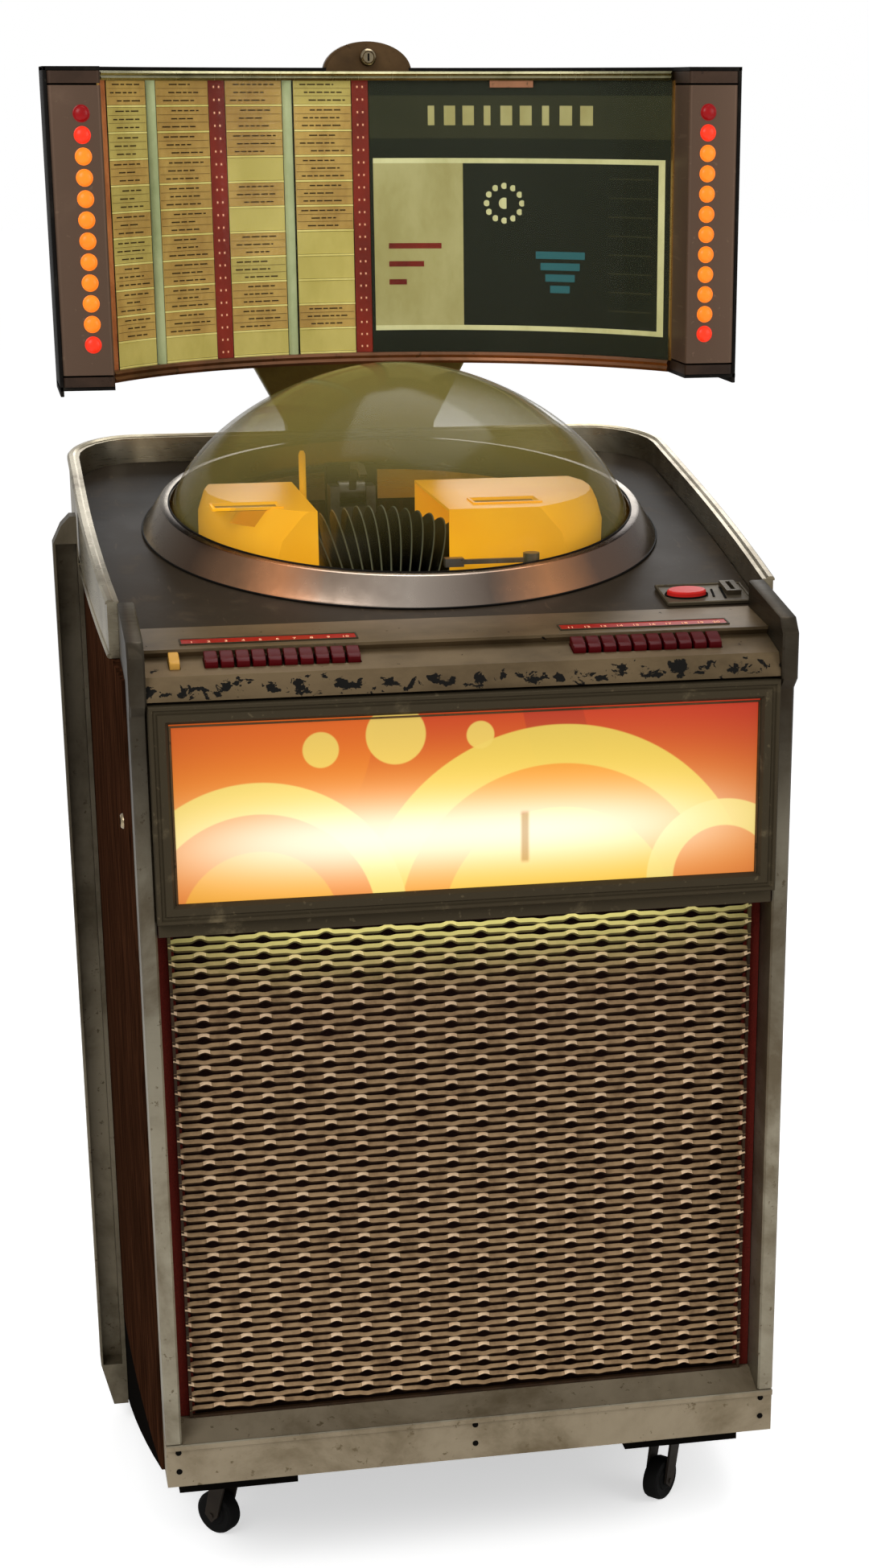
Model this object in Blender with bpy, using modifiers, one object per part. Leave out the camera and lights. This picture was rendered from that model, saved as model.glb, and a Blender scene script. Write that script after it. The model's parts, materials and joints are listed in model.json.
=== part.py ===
"""Coin-operated record player with a domed lid, a curved title screen and a lit front panel.

Metres, +Z up. X is the viewer's right and the front faces -Y. Heights are above the floor, and
depths are measured back from the front face of the corner posts. One empty carries everything
and centres the finished piece on its footprint.
"""
import math

import bmesh
import bpy

# Fits shared by every piece
GAP = 0.0003
RUN_GAP = 0.0008
OVERRUN = 0.02
FUSE = 0.002

# Cabinet plan
FRONT_HALF_WIDTH = 0.335
WIDEST_HALF_WIDTH = 0.354
WIDEST_Y = 0.50
REAR_Y = 0.7245
REAR_CORNER_RADIUS = 0.085
WALL = 0.018
SIDE_STEPS = 8
CORNER_STEPS = 6

# Cabinet heights
SKIRT_FRONT_Z = 0.150
SKIRT_REAR_Z = 0.027
SKIRT_REAR_Y = 0.47
FLOOR_BOTTOM_Z = 0.128
FLOOR_THICKNESS = 0.018
CASTER_BOARD_Z = 0.100
CASTER_BOARD_WIDTH = 0.140
CASTER_BOARD_LENGTH = 0.150
PARTING_FRONT_Z = 1.0246
PARTING_FRONT_Y = 0.12
PARTING_RISE = 0.039
PARTING_RUN = 0.35

# Lid deck plane
DECK_FRONT_Z = 1.035
DECK_RISE = 0.1498
DECK_RUN = 1.0
DECK_THICKNESS = 0.004
DECK_FRONT_Y = 0.1202
RIM_HEIGHT = 0.028
RIM_OUTSET = 0.002
RIM_WALL = 0.010
LID_HINGE_Z = 1.030
LID_HINGE_BEHIND = 0.001

# Dome and its ring
DOME_Y = 0.4294
RING_BOTTOM_RADIUS = 0.2867
RING_TOP_RADIUS = 0.2680
RING_HEIGHT = 0.0304
DOME_RADIUS = 0.2560
DOME_RISE = 0.165
DOME_WALL = 0.004
DOME_ROUNDNESS = 1.65
DOME_RINGS = 7
DOME_SEAT = 0.0115
ROUND_STEPS = 36

# Front posts
POST_WIDTH = 0.017
POST_DEPTH = 0.045
POST_BOTTOM_Z = 0.2003
POST_NOSE = 0.012
POST_NOSE_Z = 0.990
POST_EDGE = 0.002

# Kick plate
KICK_BOTTOM_Z = 0.150
KICK_LIP_Z = 0.194
KICK_LIP = 0.003
KICK_LIP_HEIGHT = 0.006
KICK_SHELF_Z = 0.2137
KICK_EDGE = 0.001

# Grille
GRILLE_Y = 0.037
GRILLE_SIDE_GAP = 0.012
GRILLE_BORDER = 0.004
GRILLE_THICKNESS = 0.002
GRILLE_COLUMNS = 8
GRILLE_ROWS = 12
GRILLE_STRAND = 0.0035
OPENING_HALF_WIDTH = 0.318

# Speaker baffle and front rail
BAFFLE_Y = 0.075
BAFFLE_THICKNESS = 0.012
RAIL_BOTTOM_Z = 0.765
RAIL_TOP_Z = 0.7795
SPEAKER_Z = 0.47
SPEAKER_RADIUS = 0.150
SPEAKER_THROAT = 0.045
SPEAKER_CONE_DEPTH = 0.070
SPEAKER_WALL = 0.006
SPEAKER_MAGNET_RADIUS = 0.060
SPEAKER_MAGNET_DEPTH = 0.035
BAFFLE_BOTTOM_Z = 0.1475
BAFFLE_TOP_Z = 1.000

# Lit display
DISPLAY_FRONT_Y = -0.012
DISPLAY_DEPTH = 0.030
DISPLAY_BOTTOM_Z = 0.781
DISPLAY_TOP_Z = 1.002
WINDOW_HALF_WIDTH = 0.298
WINDOW_BOTTOM_Z = 0.798
WINDOW_TOP_Z = 0.981
WINDOW_LAND = 0.004
DISPLAY_GLASS_RECESS = 0.008
DISPLAY_GLASS_THICKNESS = 0.004
DISPLAY_EDGE = 0.0025
TUBE_RADIUS = 0.013
TUBE_END_ROOM = 0.033
TUBE_HALF_LENGTH = OPENING_HALF_WIDTH - TUBE_END_ROOM
TUBE_Y = 0.050
TUBE_Z = 0.880
TUBE_HOLDER_WIDTH = 0.012
TUBE_HOLDER_HALF_HEIGHT = 0.020

# Keyboard
KEYBOARD_BOTTOM_Z = 1.0052
KEYBOARD_FACE_Y = -0.008
KEYBOARD_CHIN_Z = 1.010
SHELF_FRONT_Y = 0.001
SHELF_FRONT_Z = 1.028
SHELF_REAR_Y = 0.046
SHELF_REAR_Z = 1.0385
LIP_FRONT_Y = 0.042
LIP_FRONT_Z = 1.0465
LIP_THICKNESS = 0.003
LIP_REAR_Y = 0.1165
LIP_REAR_Z = 1.0540
KEYS_PER_GROUP = 10
KEY_PITCH = 0.0156
KEY_WIDTH = 0.0126
KEY_FRONT_SHARE = 0.36
KEY_REAR_SHARE = 0.86
KEY_PROUD = 0.0085
KEY_TRAVEL = 0.003
KEY_SUNK = 0.003
KEY_EDGE = 0.0015
LEFT_GROUP_X = -0.1815
RIGHT_GROUP_X = 0.1860
AMBER_KEY_X = -0.2875
AMBER_KEY_WIDTH = 0.0100

# Coin plate
COIN_CENTRE_X = 0.2805
COIN_CENTRE_V = 0.1580
COIN_WIDTH = 0.094
COIN_LENGTH = 0.060
COIN_THICKNESS = 0.003
COIN_SLOT_X = 0.311
COIN_SLOT_V = 0.168
COIN_BLOCK_WIDTH = 0.016
COIN_BLOCK_LENGTH = 0.034
COIN_BLOCK_HEIGHT = 0.008
COIN_SLOT_WIDTH = 0.0050
COIN_SLOT_LENGTH = 0.026
REJECT_X = 0.2604
REJECT_V = 0.1560
REJECT_HALF_WIDTH = 0.0210
REJECT_HALF_LENGTH = 0.0125
REJECT_PROUD = 0.006
REJECT_TRAVEL = 0.003
REJECT_STEPS = 28

# Side fins
FIN_Y = 0.455
FIN_DEPTH = 0.030
FIN_OUTER_X = 0.385
FIN_TOP_Z = 1.118
FIN_BOTTOM_Z = 0.029
FIN_SHEET = 0.0025
FIN_TOP_CUT = 0.030
FIN_CORNER_SHARES = (1 / 3, 2 / 3)
FIN_FOOT_CUT = 0.013
FIN_FOOT_RISE = 0.054
FIN_CLEARANCE = 0.002

# Mechanism
PLATE_Z = 1.000
PLATE_THICKNESS = 0.003
PLATE_FRONT_Y = 0.125
PLATE_REAR_Y = 0.640
PLATE_SIDE_GAP = 0.003
LEDGE_WIDTH = 0.020
LEDGE_HEIGHT = 0.022
WHEEL_X = -0.043
WHEEL_Y = 0.365
WHEEL_RADIUS = 0.222
WHEEL_TOP_Z = 1.136
RECORD_RADIUS = 0.0875
RECORD_COUNT = 40
RECORD_THICKNESS = 0.0030
HUB_RADIUS = 0.066
HUB_HALF_LENGTH = 0.030
RECORD_ARC_STEPS = 6
AXLE_RADIUS = 0.008
SLOT_MARGIN = 0.006
BEARING_WIDTH = 0.030
BEARING_THICKNESS = 0.010
BEARING_REACH = 0.020
BEARING_GAP = 0.004
COVER_INSET = 0.030
COVER_SKIRT_Z = 1.062
COVER_FRONT_Y = 0.268
COVER_REAR_Y = 0.500
LEFT_COVER_TOP_Z = 1.143
COVER_WALL = 0.003
LEFT_COVER_INNER_X = -0.113
RIGHT_COVER_INNER_X = 0.028
RIGHT_COVER_TOP_Z = 1.141
COVER_WINDOW_WIDTH = 0.070
COVER_WINDOW_LENGTH = 0.035
PLATTER_X = 0.048
PLATTER_Y = 0.222
PLATTER_RADIUS = 0.042
PLATTER_THICKNESS = 0.008
PLATTER_Z = 1.046
PLATTER_POST_RADIUS = 0.012
SPINDLE_RADIUS = 0.0035
SPINDLE_RISE = 0.016
TONEARM_X = 0.112
TONEARM_Y = 0.243
TONEARM_Z = 1.089
TONEARM_LENGTH = 0.094
TONEARM_BAR = 0.005
TONEARM_POST_RADIUS = 0.009
TONEARM_HEAD_LENGTH = 0.020
TONEARM_HEAD_WIDTH = 0.012
TONEARM_HEAD_HEIGHT = 0.009
GRIPPER_X = -0.043
GRIPPER_Y = 0.515
GRIPPER_Z = 1.130
GRIPPER_RADIUS = 0.105
GRIPPER_BOW_SHARES = (0.25, 0.75)
GRIPPER_RISE = 0.035
GRIPPER_TUBE = 0.004
GRIPPER_HUB_RADIUS = 0.011
GRIPPER_HUB_HALF_LENGTH = 0.015
GRIPPER_BLOCK_HALF_WIDTH = 0.026
GRIPPER_BLOCK_DEPTH = 0.030
GRIPPER_EAR = 0.006

# Title unit
TITLE_HALF_WIDTH = 0.370
TITLE_BOTTOM_Z = 1.2614
TITLE_TOP_Z = 1.5859
PILASTER_WIDTH = 0.058
PILASTER_INNER_X = TITLE_HALF_WIDTH - PILASTER_WIDTH
PILASTER_FRONT_Y = 0.372
PILASTER_REAR_Y = 0.475
GLASS_END_Y = 0.440
GLASS_MIDDLE_Y = 0.606
TITLE_REAR_Y = 0.765
TITLE_TRIM = 0.014
TITLE_WALL = 0.010
TITLE_GLASS_THICKNESS = 0.003
TITLE_GLASS_RECESS = 0.001
TITLE_BOARD_THICKNESS = 0.003
TITLE_BOARD_GAP = 0.0012
TITLE_CABLE_HALF_WIDTH = 0.030
TITLE_CABLE_DEPTH = 0.014
TITLE_ARC_STEPS = 16
LAMP_INSET = 0.0375
LAMP_COUNT = 12
LAMP_BOTTOM_RISE = 0.0474
LAMP_TOP_DROP = 0.0459
LAMP_RADIUS = 0.0088
LAMP_RISE = 0.0035
LAMP_STEPS = 16
TAB_HALF_WIDTH = 0.050
TAB_RISE = 0.028
TAB_THICKNESS = 0.012
TAB_Y = 0.590
TAB_STEPS = 16
TITLE_LOCK_RADIUS = 0.0095
TITLE_LOCK_LENGTH = 0.010
TITLE_LOCK_RISE = 0.0111

# Neck below the title unit
NECK_BOTTOM_Z = 1.105
NECK_WAIST_Z = 1.180
NECK_BOTTOM_HALF = 0.080
NECK_WAIST_HALF = 0.090
NECK_TOP_HALF = 0.134
NECK_SHELL = 0.006

# Rear door
DOOR_HALF_WIDTH = 0.268
DOOR_BOTTOM_Z = 0.165
DOOR_TOP_Z = 1.020
DOOR_THICKNESS = 0.014
DOOR_GAP = 0.0015

# Side lock
SIDE_LOCK_Y = 0.095
SIDE_LOCK_Z = 0.863
SIDE_LOCK_RADIUS = 0.0085
SIDE_LOCK_PROUD = 0.002
SIDE_LOCK_BORE = 0.0088
SIDE_LOCK_LENGTH = 0.022

# Casters
CASTER_X = 0.257
CASTER_FRONT_Y = 0.156
CASTER_REAR_Y = 0.600
WHEEL_CASTER_RADIUS = 0.0255
WHEEL_CASTER_WIDTH = 0.020
WHEEL_CASTER_EDGE = 0.0025
WHEEL_BORE = 0.0038
CASTER_AXLE_RADIUS = 0.0032
CASTER_TRAIL = 0.018
CASTER_SIDES = 20
FORK_SHEET = 0.003
FORK_PLATE = 0.044
FORK_CLEARANCE = 0.0015
FORK_LEG_LENGTH = 0.018
CASTER_TURN = 0.785398

# Worked out from the sizes above
DECK_ANGLE = math.atan2(DECK_RISE, DECK_RUN)
PARTING_ANGLE = math.atan2(PARTING_RISE, PARTING_RUN)
SHELF_ANGLE = math.atan2(SHELF_REAR_Z - SHELF_FRONT_Z, SHELF_REAR_Y - SHELF_FRONT_Y)
SHELF_LENGTH = math.hypot(SHELF_REAR_Z - SHELF_FRONT_Z, SHELF_REAR_Y - SHELF_FRONT_Y)
FLOOR_TOP_Z = FLOOR_BOTTOM_Z + FLOOR_THICKNESS
POST_TOP_RISE = RIM_HEIGHT / math.cos(DECK_ANGLE)
WHEEL_Z = WHEEL_TOP_Z - WHEEL_RADIUS
CENTRE_Y = (TITLE_REAR_Y + DISPLAY_FRONT_Y) / 2
LID_HINGE_Y = REAR_Y + RIM_OUTSET + LID_HINGE_BEHIND
DOME_V = DOME_Y / math.cos(DECK_ANGLE)

COLOURS = {
    "walnut": ((0.040, 0.014, 0.006), 0.35, 0.0),
    "aluminium": ((0.45, 0.42, 0.36), 0.35, 0.9),
    "pewter": ((0.05, 0.045, 0.035), 0.45, 0.6),
    "deck": ((0.050, 0.042, 0.030), 0.45, 0.3),
    "bronze": ((0.30, 0.21, 0.12), 0.40, 0.8),
    "kick": ((0.30, 0.25, 0.19), 0.40, 0.8),
    "keyboard": ((0.22, 0.18, 0.11), 0.45, 0.6),
    "key": ((0.060, 0.006, 0.008), 0.30, 0.0),
    "amber": ((0.70, 0.42, 0.10), 0.30, 0.0),
    "red": ((0.55, 0.03, 0.02), 0.30, 0.0),
    "clear": ((0.45, 0.38, 0.22), 0.08, 0.0),
    "crimson_glass": ((0.60, 0.05, 0.03), 0.15, 0.0),
    "title_glass": ((0.55, 0.45, 0.20), 0.10, 0.0),
    "taupe": ((0.13, 0.085, 0.055), 0.40, 0.5),
    "olive": ((0.30, 0.26, 0.12), 0.40, 0.6),
    "yellow": ((0.75, 0.42, 0.04), 0.40, 0.0),
    "cloth": ((0.10, 0.014, 0.008), 0.90, 0.0),
    "black": ((0.012, 0.012, 0.012), 0.45, 0.0),
    "zinc": ((0.42, 0.42, 0.40), 0.35, 0.9),
    "rubber": ((0.010, 0.010, 0.010), 0.80, 0.0),
    "white": ((0.85, 0.85, 0.80), 0.25, 0.0),
    "hardboard": ((0.10, 0.06, 0.035), 0.75, 0.0),
}


def clear_scene():
    """Removes the start-up objects."""
    for item in list(bpy.data.objects):
        bpy.data.objects.remove(item, do_unlink=True)


def new_collection(name):
    """Adds a collection to the scene."""
    collection = bpy.data.collections.new(name)
    bpy.context.scene.collection.children.link(collection)
    return collection


clear_scene()
PARTS = new_collection("jukebox")
CUTTERS = new_collection("cutters")


def new_empty(name, location, rotation=(0, 0, 0), parent=None):
    """Adds an empty that carries other pieces."""
    empty = bpy.data.objects.new(name, None)
    empty.location = location
    empty.rotation_euler = rotation
    empty.parent = parent
    PARTS.objects.link(empty)
    return empty


FRAME = new_empty("footprint_centre", (0, -CENTRE_Y, 0))
LID_HINGE = new_empty("lid_hinge", (0, LID_HINGE_Y, LID_HINGE_Z), (0, 0, 0), FRAME)
LID = new_empty("lid_frame", (0, -LID_HINGE_Y, -LID_HINGE_Z), (0, 0, 0), LID_HINGE)
DECK = new_empty("deck_plane", (0, 0, DECK_FRONT_Z), (DECK_ANGLE, 0, 0), LID)


def make_material(name, colour_name):
    """Principled material with the piece's colour, roughness and metallic value."""
    colour, roughness, metallic = COLOURS[colour_name]
    material = bpy.data.materials.new(name)
    material.use_nodes = True
    shader = material.node_tree.nodes["Principled BSDF"]
    shader.inputs["Base Color"].default_value = (*colour, 1)
    shader.inputs["Roughness"].default_value = roughness
    shader.inputs["Metallic"].default_value = metallic
    return material


def adopt(item, name, parent, colour=None):
    """Names a piece, moves it to the right collection and gives it its material."""
    for collection in list(item.users_collection):
        collection.objects.unlink(item)
    item.name = name
    item.parent = parent
    if colour is None:
        CUTTERS.objects.link(item)
        item.hide_render = True
        item.display_type = "WIRE"
    else:
        PARTS.objects.link(item)
        item.data.materials.clear()
        item.data.materials.append(make_material(name, colour))
    return item


def box(name, low, high, parent=FRAME, colour=None, edge=0):
    """Box between two corners, with its edges rounded if asked."""
    bpy.ops.mesh.primitive_cube_add(size=1)
    item = bpy.context.object
    middle = [(a + b) / 2 for a, b in zip(low, high)]
    for vertex in item.data.vertices:
        for axis in range(3):
            vertex.co[axis] *= high[axis] - low[axis]
    item.location = middle
    adopt(item, name, parent, colour)
    if edge:
        round_edges(item, edge)
    return item


def cylinder(name, centre, radius, length, axis="Z", parent=FRAME, colour=None, sides=24):
    """Cylinder centred at a point, along X, Y or Z."""
    turn = {"X": (0, math.pi / 2, 0), "Y": (math.pi / 2, 0, 0), "Z": (0, 0, 0)}[axis]
    bpy.ops.mesh.primitive_cylinder_add(vertices=sides, radius=radius, depth=length)
    item = bpy.context.object
    item.location = centre
    item.rotation_euler = turn
    return adopt(item, name, parent, colour)


def prism(name, outline, start, end, facing="Z", parent=FRAME, colour=None, edge=0):
    """Flat outline extruded from start to end.

    Facing Z takes (x, y) points, facing X takes (y, z) and facing Y takes (x, z).
    """
    turn = {"Z": (0, 0, 0), "X": (math.pi / 2, 0, math.pi / 2), "Y": (math.pi / 2, 0, 0)}[facing]
    curve = bpy.data.curves.new(name, "CURVE")
    curve.dimensions = "2D"
    curve.fill_mode = "BOTH"
    curve.extrude = abs(end - start) / 2
    spline = curve.splines.new("POLY")
    spline.points.add(len(outline) - 1)
    for point, (across, up) in zip(spline.points, outline):
        point.co = (across, up, 0, 1)
    spline.use_cyclic_u = True
    source = bpy.data.objects.new(name, curve)
    PARTS.objects.link(source)
    graph = bpy.context.evaluated_depsgraph_get()
    mesh = bpy.data.meshes.new_from_object(source.evaluated_get(graph))
    bpy.data.objects.remove(source, do_unlink=True)
    work = bmesh.new()
    work.from_mesh(mesh)
    bmesh.ops.remove_doubles(work, verts=work.verts, dist=GAP / 10)
    bmesh.ops.recalc_face_normals(work, faces=work.faces)
    work.to_mesh(mesh)
    work.free()
    item = bpy.data.objects.new(name, mesh)
    middle = (start + end) / 2
    item.location = {"Z": (0, 0, middle), "X": (middle, 0, 0), "Y": (0, middle, 0)}[facing]
    item.rotation_euler = turn
    adopt(item, name, parent, colour)
    if edge:
        round_edges(item, edge)
    return item


def turned(name, profile, centre, parent=FRAME, colour=None, steps=ROUND_STEPS, rotation=(0, 0, 0)):
    """Closed profile of (radius, height) points turned about Z."""
    mesh = bpy.data.meshes.new(name)
    count = len(profile)
    points = [(radius, 0, height) for radius, height in profile]
    mesh.from_pydata(points, [(i, (i + 1) % count) for i in range(count)], [])
    item = bpy.data.objects.new(name, mesh)
    item.location = centre
    item.rotation_euler = rotation
    adopt(item, name, parent, colour)
    screw = item.modifiers.new("turn", "SCREW")
    screw.steps = steps
    screw.render_steps = steps
    screw.use_merge_vertices = True
    screw.merge_threshold = GAP / 10
    screw.use_smooth_shade = False
    return item


def round_edges(item, width):
    """One chamfer along the sharp edges."""
    bevel = item.modifiers.new("edges", "BEVEL")
    bevel.width = width
    bevel.segments = 1
    bevel.limit_method = "ANGLE"
    return item


def combine(item, other, operation):
    """Cuts or joins another solid with the piece."""
    boolean = item.modifiers.new(other.name, "BOOLEAN")
    boolean.operation = operation
    boolean.object = other
    boolean.solver = "EXACT"
    return item


def cut(item, *others):
    """Removes the other solids from the piece."""
    for other in others:
        combine(item, other, "DIFFERENCE")
    return item


def join(item, *others):
    """Fuses the other solids to the piece."""
    for other in others:
        combine(item, other, "UNION")
    return item


def half_width(y):
    """Half the cabinet's width at a depth: a slight bow, widest near the back."""
    share = max(0, (WIDEST_Y - y) / WIDEST_Y)
    return FRONT_HALF_WIDTH + (WIDEST_HALF_WIDTH - FRONT_HALF_WIDTH) * (1 - share * share)


def plan_half(outset, front):
    """Right half of the cabinet's plan, from the front edge to the middle of the back."""
    straight_end = REAR_Y - REAR_CORNER_RADIUS
    points = []
    for step in range(SIDE_STEPS):
        y = front + (straight_end - front) * step / SIDE_STEPS
        points.append((half_width(y) + outset, y))
    for step in range(CORNER_STEPS + 1):
        angle = math.pi / 2 * step / CORNER_STEPS
        reach = REAR_CORNER_RADIUS + outset
        x = WIDEST_HALF_WIDTH - REAR_CORNER_RADIUS + reach * math.cos(angle)
        y = straight_end + reach * math.sin(angle)
        points.append((x, y))
    return points


def mirrored(points):
    """The same points on the left side, in reverse order."""
    return [(-x, y) for x, y in reversed(points)]


def plan_outline(outset, front):
    """Whole plan, closed straight across the front."""
    right = plan_half(outset, front)
    return right + mirrored(right)


def plan_band(outer, inner, front):
    """Wall that follows the sides and the back, open at the front."""
    outside = plan_half(outer, front)
    inside = plan_half(inner, front)
    return outside + mirrored(outside) + inside_path(inside)


def inside_path(inside):
    """Inner face of the wall, walked from the left front round to the right front."""
    left = [(-x, y) for x, y in inside]
    right = list(reversed(inside))
    return left + right


def parting_z(y):
    """Height of the line where the lid meets the cabinet."""
    return PARTING_FRONT_Z + (y - PARTING_FRONT_Y) * PARTING_RISE / PARTING_RUN


def deck_z(y):
    """Height of the deck above the floor at a depth."""
    return DECK_FRONT_Z + y * DECK_RISE / DECK_RUN


def arc_through(end_x, end_y, middle_y, steps):
    """Points on the arc from (end_x, end_y) through (0, middle_y) to (-end_x, end_y)."""
    sagitta = middle_y - end_y
    radius = (end_x * end_x + sagitta * sagitta) / (2 * sagitta)
    spread = math.asin(min(1, end_x / radius))
    points = []
    for step in range(steps + 1):
        angle = spread - 2 * spread * step / steps
        points.append((radius * math.sin(angle), middle_y - radius + radius * math.cos(angle)))
    return points


def cabinet():
    """Walnut sides and back, floor board and the ledges that carry the mechanism."""
    outline = plan_band(0, -WALL, POST_DEPTH + GAP)
    top = parting_z(REAR_Y) + OVERRUN
    body = prism("cabinet_body", outline, SKIRT_REAR_Z, top, "Z", FRAME, "walnut")
    floor_plan = plan_outline(FUSE - WALL, POST_DEPTH + GAP)
    join(body, prism("cut_floor_board", floor_plan, FLOOR_BOTTOM_Z, FLOOR_TOP_Z))
    for x in (-CASTER_X, CASTER_X):
        for y in (CASTER_FRONT_Y, CASTER_REAR_Y):
            low = (x - CASTER_BOARD_WIDTH / 2, y - CASTER_BOARD_LENGTH / 2, CASTER_BOARD_Z)
            high = (x + CASTER_BOARD_WIDTH / 2, y + CASTER_BOARD_LENGTH / 2, FLOOR_BOTTOM_Z + FUSE)
            join(body, box(f"cut_caster_board_{x}_{y}", low, high))
    for side in (-1, 1):
        outer_x = half_width(PLATE_FRONT_Y) - WALL + FUSE
        inner_x = outer_x - LEDGE_WIDTH - FUSE
        low = (min(side * inner_x, side * outer_x), PLATE_FRONT_Y, PLATE_Z - GAP - LEDGE_HEIGHT)
        high = (max(side * inner_x, side * outer_x), PLATE_REAR_Y, PLATE_Z - GAP)
        join(body, box(f"cut_ledge_{side}", low, high))
    wide = WIDEST_HALF_WIDTH + OVERRUN
    above = top + OVERRUN
    lid_wedge = [
        (-OVERRUN, parting_z(-OVERRUN) - RUN_GAP),
        (REAR_Y + OVERRUN, parting_z(REAR_Y + OVERRUN) - RUN_GAP),
        (REAR_Y + OVERRUN, above),
        (-OVERRUN, above),
    ]
    cut(body, prism("cut_lid_line", lid_wedge, -wide, wide, "X"))
    skirt_wedge = [
        (-OVERRUN, -OVERRUN),
        (SKIRT_REAR_Y, -OVERRUN),
        (SKIRT_REAR_Y, SKIRT_REAR_Z),
        (POST_DEPTH, SKIRT_FRONT_Z),
        (-OVERRUN, SKIRT_FRONT_Z),
    ]
    for side in (-1, 1):
        inner_x = half_width(POST_DEPTH) - WALL - FUSE
        start = min(side * inner_x, side * wide)
        end = max(side * inner_x, side * wide)
        cut(body, prism(f"cut_skirt_{side}", skirt_wedge, start, end, "X"))
    low = (-DOOR_HALF_WIDTH - GAP, REAR_Y - WALL - OVERRUN, DOOR_BOTTOM_Z - DOOR_GAP)
    high = (DOOR_HALF_WIDTH + DOOR_GAP, REAR_Y + OVERRUN, DOOR_TOP_Z + DOOR_GAP)
    cut(body, box("cut_door_opening", low, high))
    wall_x = half_width(SIDE_LOCK_Y)
    centre = (-wall_x, SIDE_LOCK_Y, SIDE_LOCK_Z)
    cut(body, cylinder("cut_lock_bore", centre, SIDE_LOCK_BORE, 2 * WALL + OVERRUN, "X"))
    return body


def rear_door():
    """Access panel in the back, hung on its left edge."""
    origin = (-DOOR_HALF_WIDTH, REAR_Y, DOOR_BOTTOM_Z)
    hinge = new_empty("rear_door_hinge", origin, (0, 0, 0), FRAME)
    high = (2 * DOOR_HALF_WIDTH, 0, DOOR_TOP_Z - DOOR_BOTTOM_Z)
    box("rear_door", (0, -DOOR_THICKNESS, 0), high, hinge, "hardboard", POST_EDGE)


def posts():
    """Aluminium corner posts whose tops run up into the line of the rim."""
    top_rear = PARTING_FRONT_Y - RUN_GAP
    profile = [
        (0, POST_BOTTOM_Z),
        (0, POST_NOSE_Z),
        (-POST_NOSE, POST_NOSE_Z + POST_NOSE),
        (-POST_NOSE, deck_z(-POST_NOSE) + POST_TOP_RISE - POST_NOSE),
        (0, deck_z(0) + POST_TOP_RISE),
        (top_rear, deck_z(top_rear) + POST_TOP_RISE),
        (top_rear, parting_z(top_rear)),
        (POST_DEPTH, parting_z(POST_DEPTH)),
        (POST_DEPTH, POST_BOTTOM_Z),
    ]
    beyond = top_rear + OVERRUN
    relief = [
        (POST_DEPTH, POST_BOTTOM_Z - OVERRUN),
        (POST_DEPTH, parting_z(POST_DEPTH)),
        (beyond, parting_z(beyond)),
        (beyond, POST_BOTTOM_Z - OVERRUN),
    ]
    inner = FRONT_HALF_WIDTH - POST_WIDTH
    for name, start, end in (("left", -FRONT_HALF_WIDTH, -inner), ("right", inner, FRONT_HALF_WIDTH)):
        post = prism(f"front_post_{name}", profile, start, end, "X", FRAME, "aluminium", POST_EDGE)
        cut(post, prism(f"cut_post_relief_{name}", relief, start - OVERRUN, end + OVERRUN, "X"))


def kick_plate():
    """Metal plate across the foot with a lip and a shelf that slopes up to the grille."""
    top = KICK_LIP_Z + KICK_LIP_HEIGHT
    face = [
        (KICK_LIP, KICK_BOTTOM_Z),
        (KICK_LIP, KICK_LIP_Z),
        (0, KICK_LIP_Z),
        (0, top),
        (POST_DEPTH, top),
        (POST_DEPTH, KICK_BOTTOM_Z),
    ]
    wide = FRONT_HALF_WIDTH
    plate = prism("kick_plate", face, -wide, wide, "X", FRAME, "kick")
    shelf = [
        (KICK_LIP, top - FUSE),
        (KICK_LIP, top),
        (GRILLE_Y - GRILLE_THICKNESS, KICK_SHELF_Z - GAP),
        (POST_DEPTH, KICK_SHELF_Z - GAP),
        (POST_DEPTH, top - FUSE),
    ]
    reach = OPENING_HALF_WIDTH - GAP
    join(plate, prism("cut_kick_shelf", shelf, -reach, reach, "X"))
    return plate


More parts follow.
